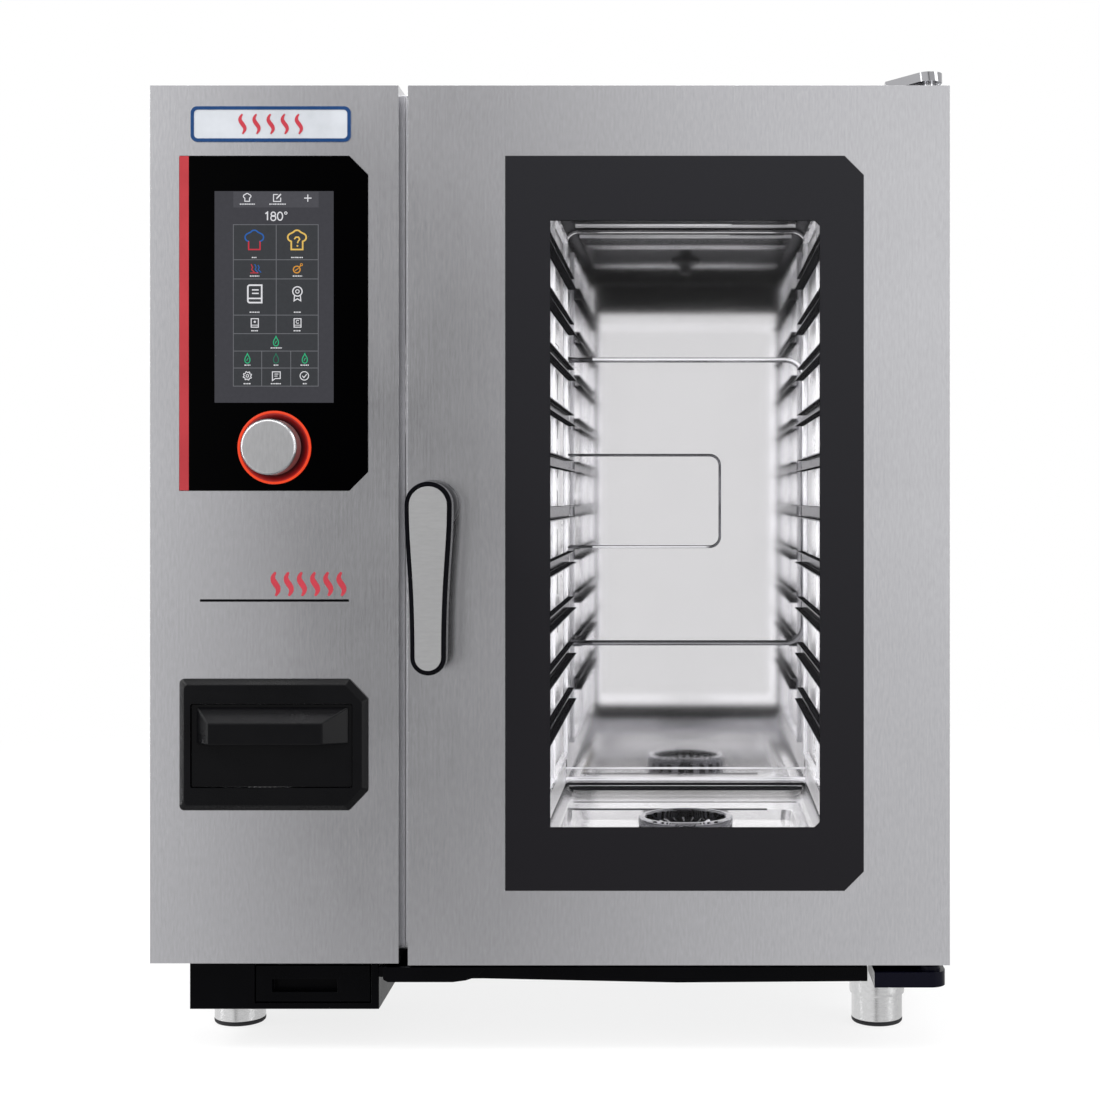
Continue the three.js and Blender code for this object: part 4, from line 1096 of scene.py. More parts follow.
def stepped(rings, hole):
    """Rim: outlines at several depths, [(XZ outline, y), ...], with a straight hole."""
    count, hole_count = len(rings[0][0]), len(hole)
    verts = [placed(*point, y, "Y") for outline, y in rings for point in outline]
    faces = []
    for k in range(len(rings) - 1):
        faces += bridge(k * count, (k + 1) * count, count)
    front_ring, front_hole = (len(rings) - 1) * count, len(verts)
    back_hole = front_hole + hole_count
    for y in (rings[-1][1], rings[0][1]):
        verts += [placed(*point, y, "Y") for point in hole]
    for outline, ring_start, hole_start in (
        (rings[-1][0], front_ring, front_hole), (rings[0][0], 0, back_hole),
    ):
        for cap in triangles([outline, hole]):
            faces.append(
                tuple(ring_start + i if i < count else hole_start + i - count for i in cap)
            )
    faces += bridge(front_hole, back_hole, hole_count)
    return verts, faces


# inset of the outline, how far it stands proud of the fascia
BEZEL_STEPS = ((0, 0.1), (0, 2.2), (1.2, 3.6), (5.6, 7.6), (6.6, 8.0))
add(
    "drawer_frame",
    stepped(
        [(bezel_outline(inset), FRONT_Y - proud) for inset, proud in BEZEL_STEPS],
        rounded(DRAWER_LEFT, DRAWER_RIGHT, DRAWER_LOW, DRAWER_HIGH, 2.2, 5),
    ),
    BLACK, "cabinet", replaces=("drawer_bezel",), sharp=20,
)

# root and face of the grip: proud, left, right, low, high
GRIP_SECTIONS = (
    (5.2, -374.5, -212.4, 331.9, 371.3),
    (26.5, -357.5, -237.4, 333.5, 356.0),
)
grip_points = [
    (x, FRONT_Y - proud, z)
    for proud, left, right, low, high in GRIP_SECTIONS
    for x, z in ((left, low), (right, low), (right, high), (left, high))
]
add(
    "drawer_grip", hull(grip_points), BLACK, "drawer",
    bevel=1.6, seg=4, angle=15,
)
panel_outline = rounded(
    DRAWER_LEFT + PANEL_GAP, DRAWER_RIGHT - PANEL_GAP,
    DRAWER_LOW + PANEL_GAP, DRAWER_HIGH - PANEL_GAP, 1.8, 5,
)
add(
    "drawer_panel", prism(panel_outline, FRONT_Y - 5.5, FRONT_Y),
    BLACK, "drawer", bevel=1.0, replaces=("drawer_front",),
)

# ------------------------------------------------------------------ feet
# radius, z
SLEEVE_PROFILE = [
    (28.9, 33.0), (30.2, 33.0), (30.7, 33.6), (30.9, 35.2), (31.0, 38), (31.0, 102.4),
    (30.4, 102.9), (28.9, 102.9), (28.9, 33.0),
]
LEG_PROFILE = [
    (0, 5.0), (27.9, 5.0), (28.4, 5.5), (28.5, 6.2), (28.5, 65.4), (27.9, 66), (8, 66),
    (8, 88), (0, 88),
]
PAD_PROFILE = [
    (0, 0), (25.4, 0), (27.2, 0.6), (28.4, 1.9), (28.7, 3.4), (28.7, 4.9), (0, 4.9),
]
for corner_name in ("front_left", "front_right", "rear_left", "rear_right"):
    box_lo, box_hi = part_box("foot_sleeve_" + corner_name)
    foot_centre = ((box_lo.x + box_hi.x) / 2 / MM, (box_lo.y + box_hi.y) / 2 / MM)
    foot_body = "foot_" + corner_name
    for piece, foot_profile, foot_mat, rides_on, foot_slot in (
        ("foot_sleeve_", SLEEVE_PROFILE, STEEL_FOOT, "cabinet", "steel_brushed"),
        ("foot_leg_", LEG_PROFILE, STEEL_FOOT, foot_body, "steel_brushed"),
        ("foot_pad_", PAD_PROFILE, RUBBER, foot_body, "rubber"),
    ):
        add(
            piece + "finish_" + corner_name, turned(foot_profile, foot_centre, "Z", 72),
            foot_mat, rides_on, replaces=(piece + corner_name,),
        )

# ------------------------------------------------------------------ drain strainer
STRAINER_Z = 150.4
# radius, height over the strainer's foot
STRAINER_FOOT = ((58.5, 0), (61.5, 0), (61.5, 4.0), (58.5, 4.0), (58.5, 0))
STRAINER_RIM = (
    (58.5, 17.5), (61.6, 17.5), (61.9, 22.5), (61.4, 25.6), (59.8, 27.4), (57.2, 28.0),
    (54.4, 27.4), (51.8, 25.4), (46, 18.4), (37, 12.4), (28, 9.2), (18, 8.4), (17, 7.4),
    (28, 7.6), (39, 10.2), (48, 15.6), (55, 22.6), (58.5, 22.6), (58.5, 17.5),
)
STRAINER_HUB = ((0, 2), (17.4, 2), (17.4, 8.4), (15.5, 9.6), (9, 10.4), (0, 10.8))
STRAINER_BARS = 22
STRAINER_FINGERS = 16
# x outwards, y, z
FINGER_POINTS = [
    (17, -1.2, 158.6), (17, 1.2, 158.6), (38, -3.6, 163.2), (38, 3.6, 163.2),
    (19, 0, 164.0), (35, -1.5, 170.0), (35, 1.5, 170.0),
]
# radius, z
CORE_PROFILE = [(0, 151.2), (57.2, 151.2), (57.2, 156), (49, 164), (37, 158.5), (0, 158.5)]


def strainer_ring(profile, steps):
    lifted = [(radius, STRAINER_Z + height) for radius, height in profile]
    return turned(lifted, DRAIN, "Z", steps)


def strainer_cup():
    """Foot ring, rim with dished bowl, bars between the wall slots, and hub."""
    parts = [strainer_ring(STRAINER_FOOT, 120), strainer_ring(STRAINER_RIM, 120)]
    for i in range(STRAINER_BARS):
        half = 3.6 if i % 2 else 5.2
        bar = block(59.0, 61.3, -half, half, STRAINER_Z + 3.4, STRAINER_Z + 18.0)
        parts.append(spun(bar, TAU * (i + 0.5) / STRAINER_BARS, DRAIN))
    parts.append(strainer_ring(STRAINER_HUB, 48))
    return together(*parts)


def strainer_fingers():
    """Short raised fingers round the throat of the bowl."""
    return together(*[
        spun(hull(FINGER_POINTS), TAU * i / STRAINER_FINGERS + 0.1, DRAIN)
        for i in range(STRAINER_FINGERS)
    ])


add(
    "drain_strainer_cup", strainer_cup(), strainer_steel(), "strainer",
    replaces=("drain_strainer",), sharp=30,
)
add(
    "drain_strainer_fingers", strainer_fingers(), DRAIN_STEEL, "strainer",
    bevel=0.3, seg=2,
)
add(
    "drain_strainer_core", turned(CORE_PROFILE, DRAIN), DRAIN_CORE, "strainer"
)


# ------------------------------------------------------------------ fascia plate and trim line
PLATE_LEFT, PLATE_RIGHT = -381.4375, -211.4375
PLATE_LOW, PLATE_HIGH = 970.80625, 1008.525
PLATE_X, PLATE_Z = (PLATE_LEFT + PLATE_RIGHT) / 2, (PLATE_LOW + PLATE_HIGH) / 2
PLATE_WAVE_HEIGHT = 21
TRIM_LEFT, TRIM_RIGHT, TRIM_Z = -371.875, -213.5625, 483.65
FLUSH_Y = FRONT_Y - 0.02  # back of the pieces laid on the fascia


def wave(x, z, height, swing, width, start, end, steps=18):
    """A rising S-shaped line, tapering to both ends."""
    left, right = [], []
    for i in range(steps + 1):
        share = i / steps
        middle = x + swing * math.sin(TAU * share)
        half = width / 2 * (0.35 + 0.65 * math.sin(math.pi * share))
        slope = swing * TAU * math.cos(TAU * share) / height
        across = half / math.hypot(1, slope)
        level = z + height * share
        left.append((middle - across, level + across * slope))
        right.append((middle + across, level - across * slope))
    return prism(left + right[::-1], start, end)


def plate_outline(inset, radius):
    return rounded(
        PLATE_LEFT + inset, PLATE_RIGHT - inset, PLATE_LOW + inset, PLATE_HIGH - inset, radius
    )


def add_fascia(name, part, mat, bevel=0.0):
    add(name, part, mat, "cabinet", bevel=bevel)


add_fascia(
    "fascia_plate_rim",
    prism([plate_outline(0, 7), plate_outline(3.6, 4.2)], FRONT_Y - 1.9, FLUSH_Y),
    ENAMEL_BLUE, bevel=0.5,
)
add_fascia(
    "fascia_plate", prism(plate_outline(3.3, 4.4), FRONT_Y - 1.5, FLUSH_Y),
    ENAMEL_SILVER, bevel=0.3,
)
plate_waves = [
    wave(
        PLATE_X + 15 * k, PLATE_Z - PLATE_WAVE_HEIGHT / 2, PLATE_WAVE_HEIGHT,
        swing=2.6, width=4.4, start=FRONT_Y - 1.75, end=FRONT_Y - 1.4,
    )
    for k in (-2, -1, 0, 1, 2)
]
add_fascia("fascia_plate_waves", together(*plate_waves), ENAMEL_RED)
trim_outline = rounded(TRIM_LEFT, TRIM_RIGHT, TRIM_Z - 1.3, TRIM_Z + 1.3, 0.6, 3)
add_fascia("fascia_trim_line", prism(trim_outline, FRONT_Y - 0.35, FLUSH_Y), UNDERSIDE_SHADE_AND_TRIM_BLACK)
trim_waves = [
    wave(
        TRIM_RIGHT - 8 - 14 * k, TRIM_Z + 5, 25,
        swing=2.8, width=6.2, start=FRONT_Y - 0.35, end=FLUSH_Y,
    )
    for k in range(6)
]
add_fascia("fascia_trim_waves", together(*trim_waves), ENAMEL_RED)


# ------------------------------------------------------------------ display drawing helpers
# Display drawings are laid out in mm to the right of and down from this point,
# by the top left corner of the control glass.
LAYOUT_X, LAYOUT_Z = -393.125, 962.30625
UI_FRONT, UI_BACK = PANEL_Y - 0.28, PANEL_Y - 0.06
LINE = 0.94866  # usual line width
CAPTION_HEIGHT = 1.1858
DASHES = (1.6602, 0.94866, 1.1858, 1.8973, 0.94866, 1.4230, 1.1858)  # caption dash widths
DASH_GAP = 0.52176
DASH_LEAST = 0.47433  # room below which no further dash starts


def on_glass(x, down):
    return LAYOUT_X + x, LAYOUT_Z - down


def rect(left, top, right, bottom, proud=0.0):
    low_left, high_right = on_glass(left, bottom), on_glass(right, top)
    outline = [
        low_left, (high_right[0], low_left[1]), high_right, (low_left[0], high_right[1]),
    ]
    return prism(outline, UI_FRONT - proud, UI_BACK - proud)


def stroke(points, width=LINE, closed=False, proud=0.03):
    """Flat ribbon along layout points, mitred at its corners."""
    points = [Vector(on_glass(*point)) for point in points]
    count = len(points)
    steps = [(b - a).normalized() for a, b in zip(points, points[1:] + points[:1])]
    left, right = [], []
    for i, point in enumerate(points):
        step_in = steps[i - 1] if closed or i else steps[0]
        step_out = steps[i] if closed or i < count - 1 else step_in
        tangent = (step_in + step_out).normalized()
        side = Vector((-tangent.y, tangent.x))
        reach = width / 2 / max(0.45, side.dot(Vector((-step_in.y, step_in.x))))
        left.append(point + side * reach)
        right.append(point - side * reach)
    verts, faces = [], []
    for y in (UI_FRONT - proud, UI_BACK - proud):
        verts += [placed(point.x, point.y, y, "Y") for point in left + right]
    back = 2 * count
    for i in range(count if closed else count - 1):
        j = (i + 1) % count
        right_i, right_j = count + i, count + j
        faces += [
            (i, j, right_j, right_i),
            (back + right_i, back + right_j, back + j, back + i),
            (i, back + i, back + j, j),
            (right_j, back + right_j, back + right_i, right_i),
        ]
    if not closed:
        faces.append((0, count, back + count, back))
        faces.append((count - 1, back - 1, back + back - 1, back + count - 1))
    return verts, faces


def arc(x, z, radius, start, end, steps, tall=None):
    """Layout points along an arc in degrees; 'tall' is the vertical radius if different."""
    tall = radius if tall is None else tall
    angles = [math.radians(start + (end - start) * i / steps) for i in range(steps + 1)]
    return [(x + radius * math.cos(angle), z + tall * math.sin(angle)) for angle in angles]


def ring(x, z, radius, width, steps, tall=None, proud=0.03):
    return stroke(arc(x, z, radius, 0, 360, steps, tall)[:-1], width, True, proud)


def disc(x, z, radius, steps=20):
    angles = [TAU * i / steps for i in range(steps)]
    outline = [
        on_glass(x + radius * math.cos(angle), z + radius * math.sin(angle))
        for angle in angles
    ]
    return prism(outline, UI_FRONT - 0.03, UI_BACK - 0.03)


def box_outline(left, top, right, bottom, width=LINE, proud=0.03):
    corners = [(left, top), (right, top), (right, bottom), (left, bottom)]
    return stroke(corners, width, True, proud)


def hat(x, z, size, width):
    """Toque: puffed crown over a straight band. Returns crown and band."""
    crown = (
        arc(x - 0.27 * size, z - 0.14 * size, 0.20 * size, 95, 250, 9)
        + arc(x, z - 0.28 * size, 0.22 * size, 215, 325, 8)
        + arc(x + 0.27 * size, z - 0.14 * size, 0.20 * size, 290, 445, 9)
    )
    left, right = x - 0.29 * size, x + 0.29 * size
    top, bottom = z + 0.05 * size, z + 0.48 * size
    band = [(left, top), (left, bottom), (right, bottom), (right, top)]
    return stroke(crown, width), stroke(band, width)


def drop(x, z, size, width):
    points = [(x, z - 0.55 * size)]
    for i in range(2, 21):
        angle = TAU * i / 22
        swell = 0.55 + 0.45 * min(angle, TAU - angle) / math.pi
        points.append((
            x + 0.38 * size * math.sin(angle) * swell,
            z + 0.12 * size - 0.46 * size * math.cos(angle),
        ))
    return stroke(points, width, closed=True)


def vein(x, z, size, width):
    """Short bent line inside a drop."""
    points = ((-0.1, 0.3), (-0.02, 0.05), (0.12, -0.12))
    return stroke([(x + right * size, z + down * size) for right, down in points], width)


def caption(x, z, width):
    """A caption too small to read: a row of short dashes."""
    dashes, start, end = [], x - width / 2, x + width / 2
    while start < end - DASH_LEAST:
        dash = min(DASHES[len(dashes) % len(DASHES)], end - start)
        top = z - CAPTION_HEIGHT / 2
        dashes.append(rect(start, top, start + dash, top + CAPTION_HEIGHT, 0.02))
        start += dash + DASH_GAP
    return dashes


def book(x, z, width, height, line):
    left, right = x - width / 2, x + width / 2
    top, bottom = z - height / 2, z + height / 2
    corner = 0.14 * width
    cover = arc(left + corner, top + corner, corner, 180, 270, 4)
    cover += [(right, top), (right, bottom)]
    cover += arc(left + corner, bottom - corner, corner, 90, 180, 4)
    parts = [stroke(cover, line, closed=True)]
    # the page line low on the cover, then two lines of its title
    for start, end, level, share in (
        (left + line / 2, right, bottom - 0.24 * height, 0.9),
        (left + 0.3 * width, right - 0.22 * width, top + 0.27 * height, 0.8),
        (left + 0.3 * width, right - 0.22 * width, top + 0.47 * height, 0.8),
    ):
        parts.append(stroke([(start, level), (end, level)], line * share))
    return parts


def gear(x, z):
    points = []
    for i in range(32):
        angle = TAU * i / 32
        radius = 4.5061 if (i // 2) % 2 else 3.4389
        points.append((x + radius * math.cos(angle), z + radius * math.sin(angle)))
    return [stroke(points, 0.85379, closed=True), ring(x, z, 1.4230, 0.75893, 14)]


def add_screen(name, mat, *parts):
    add(name, together(*parts), mat, "cabinet")


# ------------------------------------------------------------------ display graphics
GRID_LEFT, GRID_RIGHT, GRID_TOP, GRID_BOTTOM = 56.9196, 147.0424, 79.4503, 250.9208
GRID_INSET = 0.23717  # dividers stop this short of the line they meet
GRID_WIDTH = 0.75893
ROW_LINES = (116.6853, 137.0815, 175.5022, 195.1869, 213.6858, 231.7104)
MIDDLE_X = 102.4554  # divider of the two-column rows, and middle of three columns
THREE_COLUMN_LINES = (87.0396, 117.8711)  # x
LOW_LEFT_X, LOW_RIGHT_X = 71.8610, 132.8125
TWO_LEFT_X, TWO_RIGHT_X = 79.4503, 124.9861
LAST_ROW_Z = 240.0112


def grid():
    """Outline of the cells and the dividers between them."""
    parts = [box_outline(GRID_LEFT, GRID_TOP, GRID_RIGHT, GRID_BOTTOM, GRID_WIDTH, 0)]
    for z in ROW_LINES:
        ends = [(GRID_LEFT + GRID_INSET, z), (GRID_RIGHT - GRID_INSET, z)]
        parts.append(stroke(ends, GRID_WIDTH, proud=0.005))
    # x, top, bottom
    columns = [(MIDDLE_X, GRID_TOP, ROW_LINES[3])]
    columns += [(x, ROW_LINES[4], GRID_BOTTOM) for x in THREE_COLUMN_LINES]
    for x, top, bottom in columns:
        ends = [(x, top + GRID_INSET), (x, bottom - GRID_INSET)]
        parts.append(stroke(ends, GRID_WIDTH, proud=0.01))
    return parts


def top_bar_symbols():
    """Hat, page with pencil, and plus."""
    page = [
        (104.3527, 47.4330), (99.6094, 47.4330), (99.6094, 54.7852),
        (107.1987, 54.7852), (107.1987, 50.7533),
    ]
    return [
        *hat(71.6239, 50.5162, 8.5379, 0.99609),
        *caption(72.0982, 57.6311, 16.6016),
        stroke(page),
        stroke([(102.6925, 51.9392), (107.4358, 46.9587)], 1.4230),
        *caption(103.8783, 57.6311, 17.5502),
        stroke([(132.1010, 51.2277), (139.9275, 51.2277)], 1.0672),
        stroke([(136.0142, 47.4330), (136.0142, 55.0223)], 1.0672, proud=0.05),
    ]


def set_temperature():
    """Figures 1, 8 (two rings) and 0, then a degree ring."""
    return [
        stroke([(91.0714, 67.8292), (93.2059, 66.1691), (93.2059, 74.7070)], 1.3044),
        ring(99.3722, 68.3036, 2.2531, 1.1858, 20),
        ring(99.3722, 72.4540, 2.6088, 1.1858, 20, proud=0.05),
        ring(106.4872, 70.4381, 2.7274, 1.2333, 24, tall=4.2690),
        ring(112.6535, 67.1177, 1.3044, 0.80636, 14),
    ]


def book_row_symbols():
    """Book, and a rosette with ribbons."""
    ribbons = [
        (121.9029, 154.6317), (121.4286, 160.3237), (TWO_RIGHT_X, 158.1892),
        (128.5435, 160.3237), (128.0692, 154.6317),
    ]
    return [
        *book(79.6875, 152.9715, 14.7042, 18.4989, 1.6602),
        ring(TWO_RIGHT_X, 150.3627, 4.9805, 1.1858, 24),
        ring(TWO_RIGHT_X, 150.3627, 1.8973, 0.85379, 14),
        stroke(ribbons, 1.0672),
    ]


def framed_symbols():
    """Two upright frames, one with a dot and one with an open ring."""
    return [
        box_outline(75.8929, 179.2969, 83.4821, 188.3092),
        stroke([(76.1300, 186.1747), (83.2450, 186.1747)], 0.71150),
        disc(79.6875, 182.6172, 1.1858),
        box_outline(121.4286, 179.2969, 128.7807, 188.3092),
        stroke([(121.6657, 186.1747), (128.5435, 186.1747)], 0.71150),
        stroke(arc(125.2232, 182.6172, 1.6602, 40, 320, 10), 0.71150),
    ]


def last_row_symbols():
    """Gear, speech bubble with two lines, and ringed tick."""
    bubble = [
        (98.4235, 235.7422), (106.7243, 235.7422), (106.7243, 242.8571),
        (101.5067, 242.8571), (98.4235, 244.9916),
    ]
    tick = [(130.2037, LAST_ROW_Z), (131.8638, 241.9085), (134.9470, 238.1138)]
    return [
        *gear(LOW_LEFT_X, LAST_ROW_Z),
        stroke(bubble, closed=True),
        stroke([(100.5580, 238.1138), (104.8270, 238.1138)], 0.80636),
        stroke([(100.5580, 240.2483), (103.8783, 240.2483)], 0.80636),
        ring(132.3382, LAST_ROW_Z, 4.5061, 0.90123, 26),
        stroke(tick, 0.90123),
    ]


def cell_captions():
    # x, z, width
    table = (
        (TWO_LEFT_X, 114.3136, 5.6920), (TWO_RIGHT_X, 114.3136, 13.2813),
        (TWO_LEFT_X, 133.9983, 9.9609), (TWO_RIGHT_X, 133.9983, 9.9609),
        (TWO_LEFT_X, 172.4191, 10.4353), (TWO_RIGHT_X, 172.4191, 7.5893),
        (TWO_LEFT_X, 192.1038, 7.1150), (TWO_RIGHT_X, 192.1038, 8.0636),
        (MIDDLE_X, 210.3655, 11.8583),
        (LOW_LEFT_X, 228.6272, 6.1663), (MIDDLE_X, 228.6272, 5.2176),
        (LOW_RIGHT_X, 228.6272, 9.0123),
        (LOW_LEFT_X, 248.3119, 8.0636), (MIDDLE_X, 248.3119, 11.3839),
        (LOW_RIGHT_X, 248.3119, 4.2690),
    )
    return [dash for entry in table for dash in caption(*entry)]


def steam_curls():
    """Two rising crooked lines."""
    return [
        stroke([
            (x, 121.4286 + LINE * k), (x + 1.4230, 124.7489),
            (x + 0.47433, 127.1205), (x + 3.3203, 130.2037),
        ])
        for k, x in enumerate((79.6875, 83.0078))
    ]


SCREEN = glow("ui_background", srgb(56, 56, 62), spec=0.06)
background = prism(
    rounded(-356.2, -229.8, 693.8, 918.5, 0.4, 2), PANEL_Y - 0.05, PANEL_Y + 0.4
)
add_screen("ui_background", SCREEN, background)
add_screen(
    "ui_top_bar", glow("ui_bar", srgb(70, 70, 76), spec=0.06),
    rect(GRID_LEFT, 44.3499, 147.5167, 61.1886, -0.08),
)
add_screen(
    "ui_cells", glow("ui_cell", srgb(50, 52, 56), spec=0.06),
    rect(GRID_LEFT, GRID_TOP, GRID_RIGHT, GRID_BOTTOM, -0.1),
)
add_screen("ui_grid", glow("ui_line_grey", srgb(104, 105, 110)), *grid())
add_screen(
    "ui_symbols_white", glow("ui_white", srgb(222, 222, 226)),
    *top_bar_symbols(), *set_temperature(), *book_row_symbols(), *framed_symbols(),
    *last_row_symbols(), *cell_captions(),
)

blue_crown, red_band = hat(79.2132, 95.8147, 20.8705, 1.4230)
add_screen("ui_symbol_blue", glow("ui_blue", srgb(30, 92, 170)), blue_crown, *steam_curls())
add_screen(
    "ui_symbol_red", glow("ui_red", srgb(196, 44, 62)),
    red_band,
    stroke([(74.9442, 130.6780), (83.4821, 130.6780)], 0.85379),
    stroke([
        (75.8929, 121.4286), (77.3158, 124.7489), (76.3672, 127.1205), (79.2132, 129.9665),
    ]),
)
# hat with a question mark
add_screen(
    "ui_symbol_gold", glow("ui_gold", srgb(226, 186, 92)),
    *hat(124.5117, 95.8147, 20.8705, 1.6602),
    stroke([
        (121.6657, 94.8661), (123.3259, 92.7316), (126.1719, 92.7316),
        (127.3577, 94.8661), (125.6975, 97.2377), (TWO_RIGHT_X, 99.1350),
    ], 1.4230),
    disc(TWO_RIGHT_X, 101.9810, 0.94866),
)
# ring with a stroke across it and a smaller ring up to the right
add_screen(
    "ui_symbol_orange", glow("ui_orange", srgb(214, 146, 48)),
    ring(124.2746, 127.1205, 3.5575, 1.1858, 20),
    stroke([(122.3772, 128.3064), (126.1719, 125.9347)]),
    stroke([(126.6462, 124.7489), (128.7807, 122.6144)], 1.1858),
    ring(129.2550, 121.9029, 1.1858, 0.71150, 10),
)
DROP_X, DROP_Z, DROP_SIZE = 102.2182, 221.2751, 9.0123
green = []
for drop_x, drop_z in ((DROP_X, 203.0134), (LOW_LEFT_X, DROP_Z), (LOW_RIGHT_X, DROP_Z)):
    green.append(drop(drop_x, drop_z, DROP_SIZE, 0.99609))
    green.append(vein(drop_x, drop_z + 0.71150, 7.1150, 0.80636))
add_screen("ui_symbols_green", glow("ui_green", srgb(38, 176, 122)), *green)
add_screen(
    "ui_symbol_green_dim", glow("ui_green_dim", srgb(28, 110, 84)),
    drop(DROP_X, DROP_Z, DROP_SIZE, 0.85379),
)

# red band printed down the glass's left edge
BAND = [(-393.6, 600.6), (-383.6, 600.6), (-383.6, 955.8), (-393.6, 955.8)]
add(
    "control_glass_band", prism(BAND, PANEL_Y - 0.12, PANEL_Y - 0.02),
    RED_PRINT, "cabinet",
)


# ------------------------------------------------------------------ world and floor
def studio_world():
    """Pale surround with a darker upright notch ahead of the oven; the camera sees white."""
    world = bpy.data.worlds.new("studio")
    scene.world = world
    sky = Shader(world, "Generated")

    def bell(value, centre, width):
        offset = sky.math("DIVIDE", sky.math("SUBTRACT", value, centre), width)
        return sky.math("POWER", 2.71828, sky.mul(sky.mul(offset, offset), -1.0))

    def notch(across, up, depth):
        """Across and up are (centre, width) of the dark spot."""
        return sky.mul(sky.mul(bell(side, *across), bell(rise, *up)), depth)

    x, y, z = sky.xyz()
    front = sky.span(sky.mul(y, -1.0), over=(0.1, 0.5))
    ahead = sky.math("MAXIMUM", sky.mul(y, -1.0), 0.05)
    side = sky.math("DIVIDE", x, ahead)
    rise = sky.math("DIVIDE", z, ahead)
    core = notch(across=(-0.165, 0.068), up=(-0.01, 0.37), depth=0.62)
    wide = notch(across=(-0.115, 0.165), up=(0.0, 0.5), depth=0.42)
    dip = sky.mul(sky.plus(core, wide), front)
    low = sky.span(rise, over=(-0.22, 0.02), to=(0.79, 0.97))
    overhead = sky.span(z, over=(0.2, 0.95), to=(0.0, 0.35))
    tilt = sky.span(side, over=(-0.5, 0.3), to=(1.16, 0.93))
    level = sky.mul(sky.mul(low, tilt), sky.math("SUBTRACT", 1.0, dip))
    level = sky.plus(level, overhead)
    camera_ray = sky.ray("Is Camera Ray")
    white = (1, 1, 1, 1)
    lit = sky.node("Background", {"Color": white, "Strength": level}).outputs[0]
    seen = sky.node("Background", {"Color": white, "Strength": 1.0}).outputs[0]
    sky.node("OutputWorld", {"Surface": sky.mix_shader(camera_ray, lit, seen)})


def floor_material():
    """Pale near the oven, white further out, unseen by mirror rays."""
    mat = material("floor_pale")
    x, y, _ = mat.xyz()
    far = mat.span(mat.length(x, y), over=(0.9, 2.6), to=(0.82, 1.0))
    tone = mat.mix(mat.noise(1.2, detail=2), (0.945, 0.945, 0.95), (0.965, 0.965, 0.968))
    near = mat.node("BsdfDiffuse", {"Color": tone}).outputs[0]
    away = mat.node("Emission", {"Color": (1, 1, 1, 1), "Strength": 1.0}).outputs[0]
    solid = mat.mix_shader(far, near, away)
    mirror = mat.ray("Is Glossy Ray")
    return mat.output(
        mat.mix_shader(mirror, solid, mat.node("BsdfTransparent").outputs[0])
    )


def studio_floor(radius=12, steps=96):
    verts = [(0, 0, 0)]
    for i in range(steps):
        angle = TAU * i / steps
        verts.append((radius * math.cos(angle), radius * math.sin(angle), 0))
    faces = [(0, 1 + i, 1 + (i + 1) % steps) for i in range(steps)]
    obj = link("studio_floor", mesh_of("studio_floor", verts, faces, outward=False))
    obj.data.materials.append(floor_material())


studio_world()
studio_floor()


# ------------------------------------------------------------------ lights
def area(name, place, size, power, target=None, size_y=None):
    """Area light; without a target it shines straight down."""
    light = bpy.data.lights.new(name, "AREA")
    light.energy = power
    light.size = size
    if size_y:
        light.shape = "RECTANGLE"
        light.size_y = size_y
    obj = link(name, light)
    obj.location = place
    if target:
        aim = Vector(target) - Vector(place)
        obj.rotation_euler = aim.to_track_quat("-Z", "Y").to_euler()
    return obj


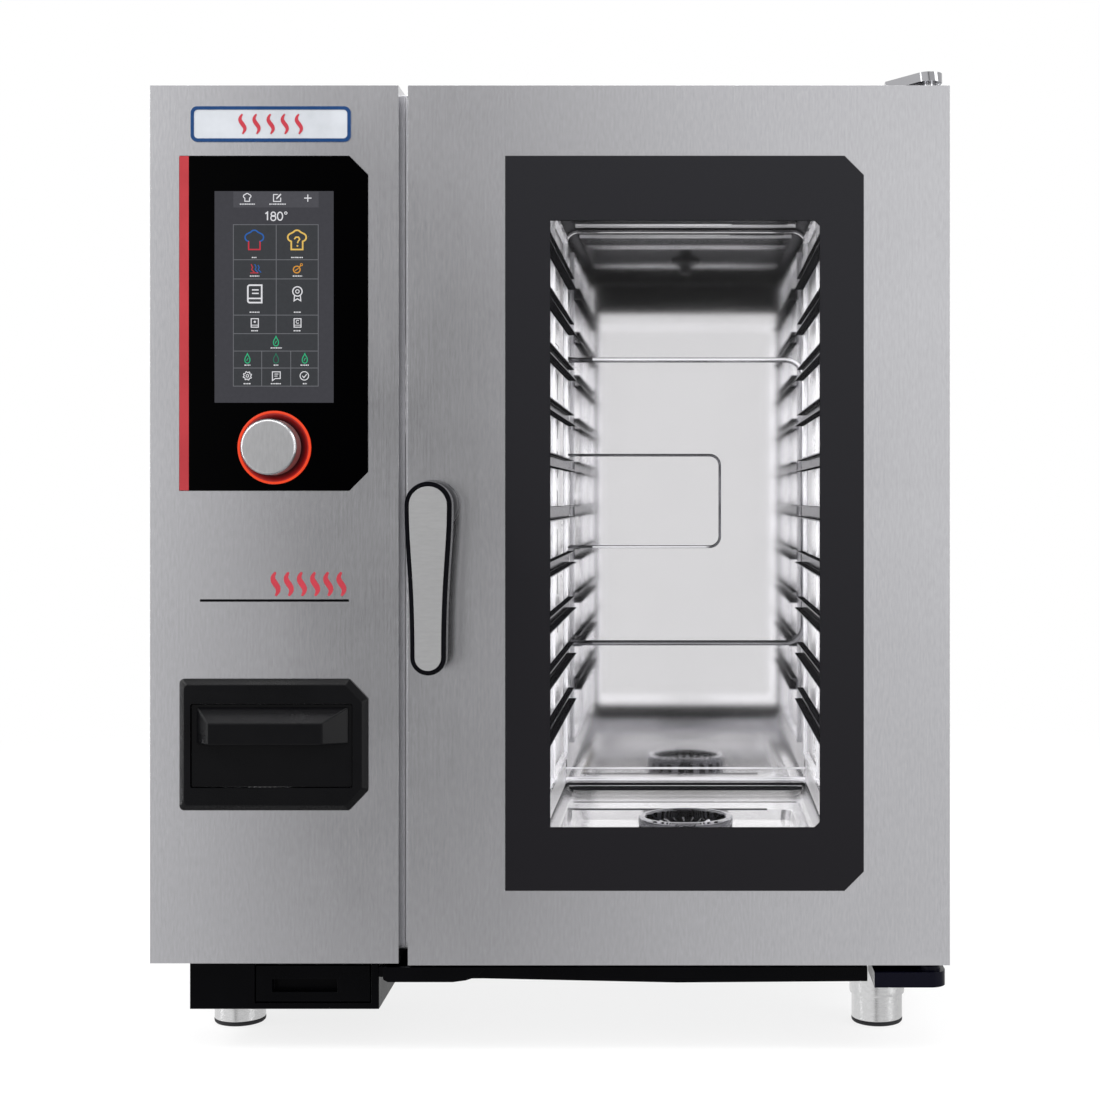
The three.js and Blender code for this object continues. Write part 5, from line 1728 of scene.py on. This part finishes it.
def studio_lights():
    # name, place, target, size, power, second size
    for name, place, target, size, power, size_y in (
        ("key_soft", (-2.9, -1.5, 3.0), (0, -0.3, 0.6), 1.3, 60, None),
        ("fill_soft", (2.8, -1.1, 2.4), (0, -0.3, 0.6), 1.0, 22, None),
        ("side_left", (-3.2, -0.9, 0.75), (0, -0.4, 0.6), 0.5, 30, 2.2),
        ("side_right", (3.0, -1.9, 0.75), (0, -0.4, 0.6), 1.5, 34, 2.2),
        ("top_strip", (0, -1.3, 3.3), (0, -0.4, 0.6), 2.4, 30, 0.5),
    ):
        area(name, place, size, power, target, size_y)


def cavity_lights():
    """Lights in the door opening shining back, and washes on the walls and floor."""
    opening = area(
        "cavity_light", (0.1472, -0.352, 0.5715), size=0.3257, power=0.70,
        target=(0.1472, 1.0, 0.5715), size_y=0.7201,
    )
    opening.visible_camera = False
    height = 0.78
    for side, left, right in (("left", -0.0335, -0.0262), ("right", 0.3190, 0.3216)):
        x, width = (left + right) / 2, right - left
        bar = area(
            "cavity_light_" + side, (x, -0.3515, 0.590), size=width,
            power=1.25 * math.pi * width * height, target=(x, 1.0, 0.590), size_y=height,
        )
        bar.visible_camera = False
    middle = MID_X * MM
    washes = []
    for side, sign in (("left", -1), ("right", 1)):
        place = (middle + 0.03 * sign, 0.0, 0.545)
        wash = area("cavity_wash_" + side, place, size=0.66, power=3.0, size_y=0.64)
        wash.rotation_euler = (0, -sign * math.pi / 2, 0)
        washes.append(wash)
    place = (middle, 0.0, 0.90)
    washes.append(area("cavity_wash_down", place, size=0.30, power=2.0, size_y=0.62))
    for wash in washes:
        wash.visible_camera = False
        wash.visible_glossy = False


studio_lights()
cavity_lights()

# ------------------------------------------------------------------ render settings, camera
scene.cycles.max_bounces = 24
scene.cycles.glossy_bounces = 14
scene.cycles.diffuse_bounces = 4
scene.cycles.transparent_max_bounces = 24
scene.cycles.sample_clamp_indirect = 6.0
scene.cycles.caustics_reflective = True

camera_data = bpy.data.cameras.new("camera")
camera_data.sensor_width = 36
camera_data.lens = 61.6
camera_data.shift_x = -0.1236
camera_data.shift_y = -0.0473
camera_data.clip_start = 0.05
camera_data.clip_end = 60
camera = link("camera", camera_data)
camera.location = (0.1445, FRONT_Y * MM - 2.0, 0.5926)
camera.rotation_euler = (math.radians(90), 0, 0)
scene.camera = camera
scene.view_settings.view_transform = "Standard"
scene.view_settings.look = "None"
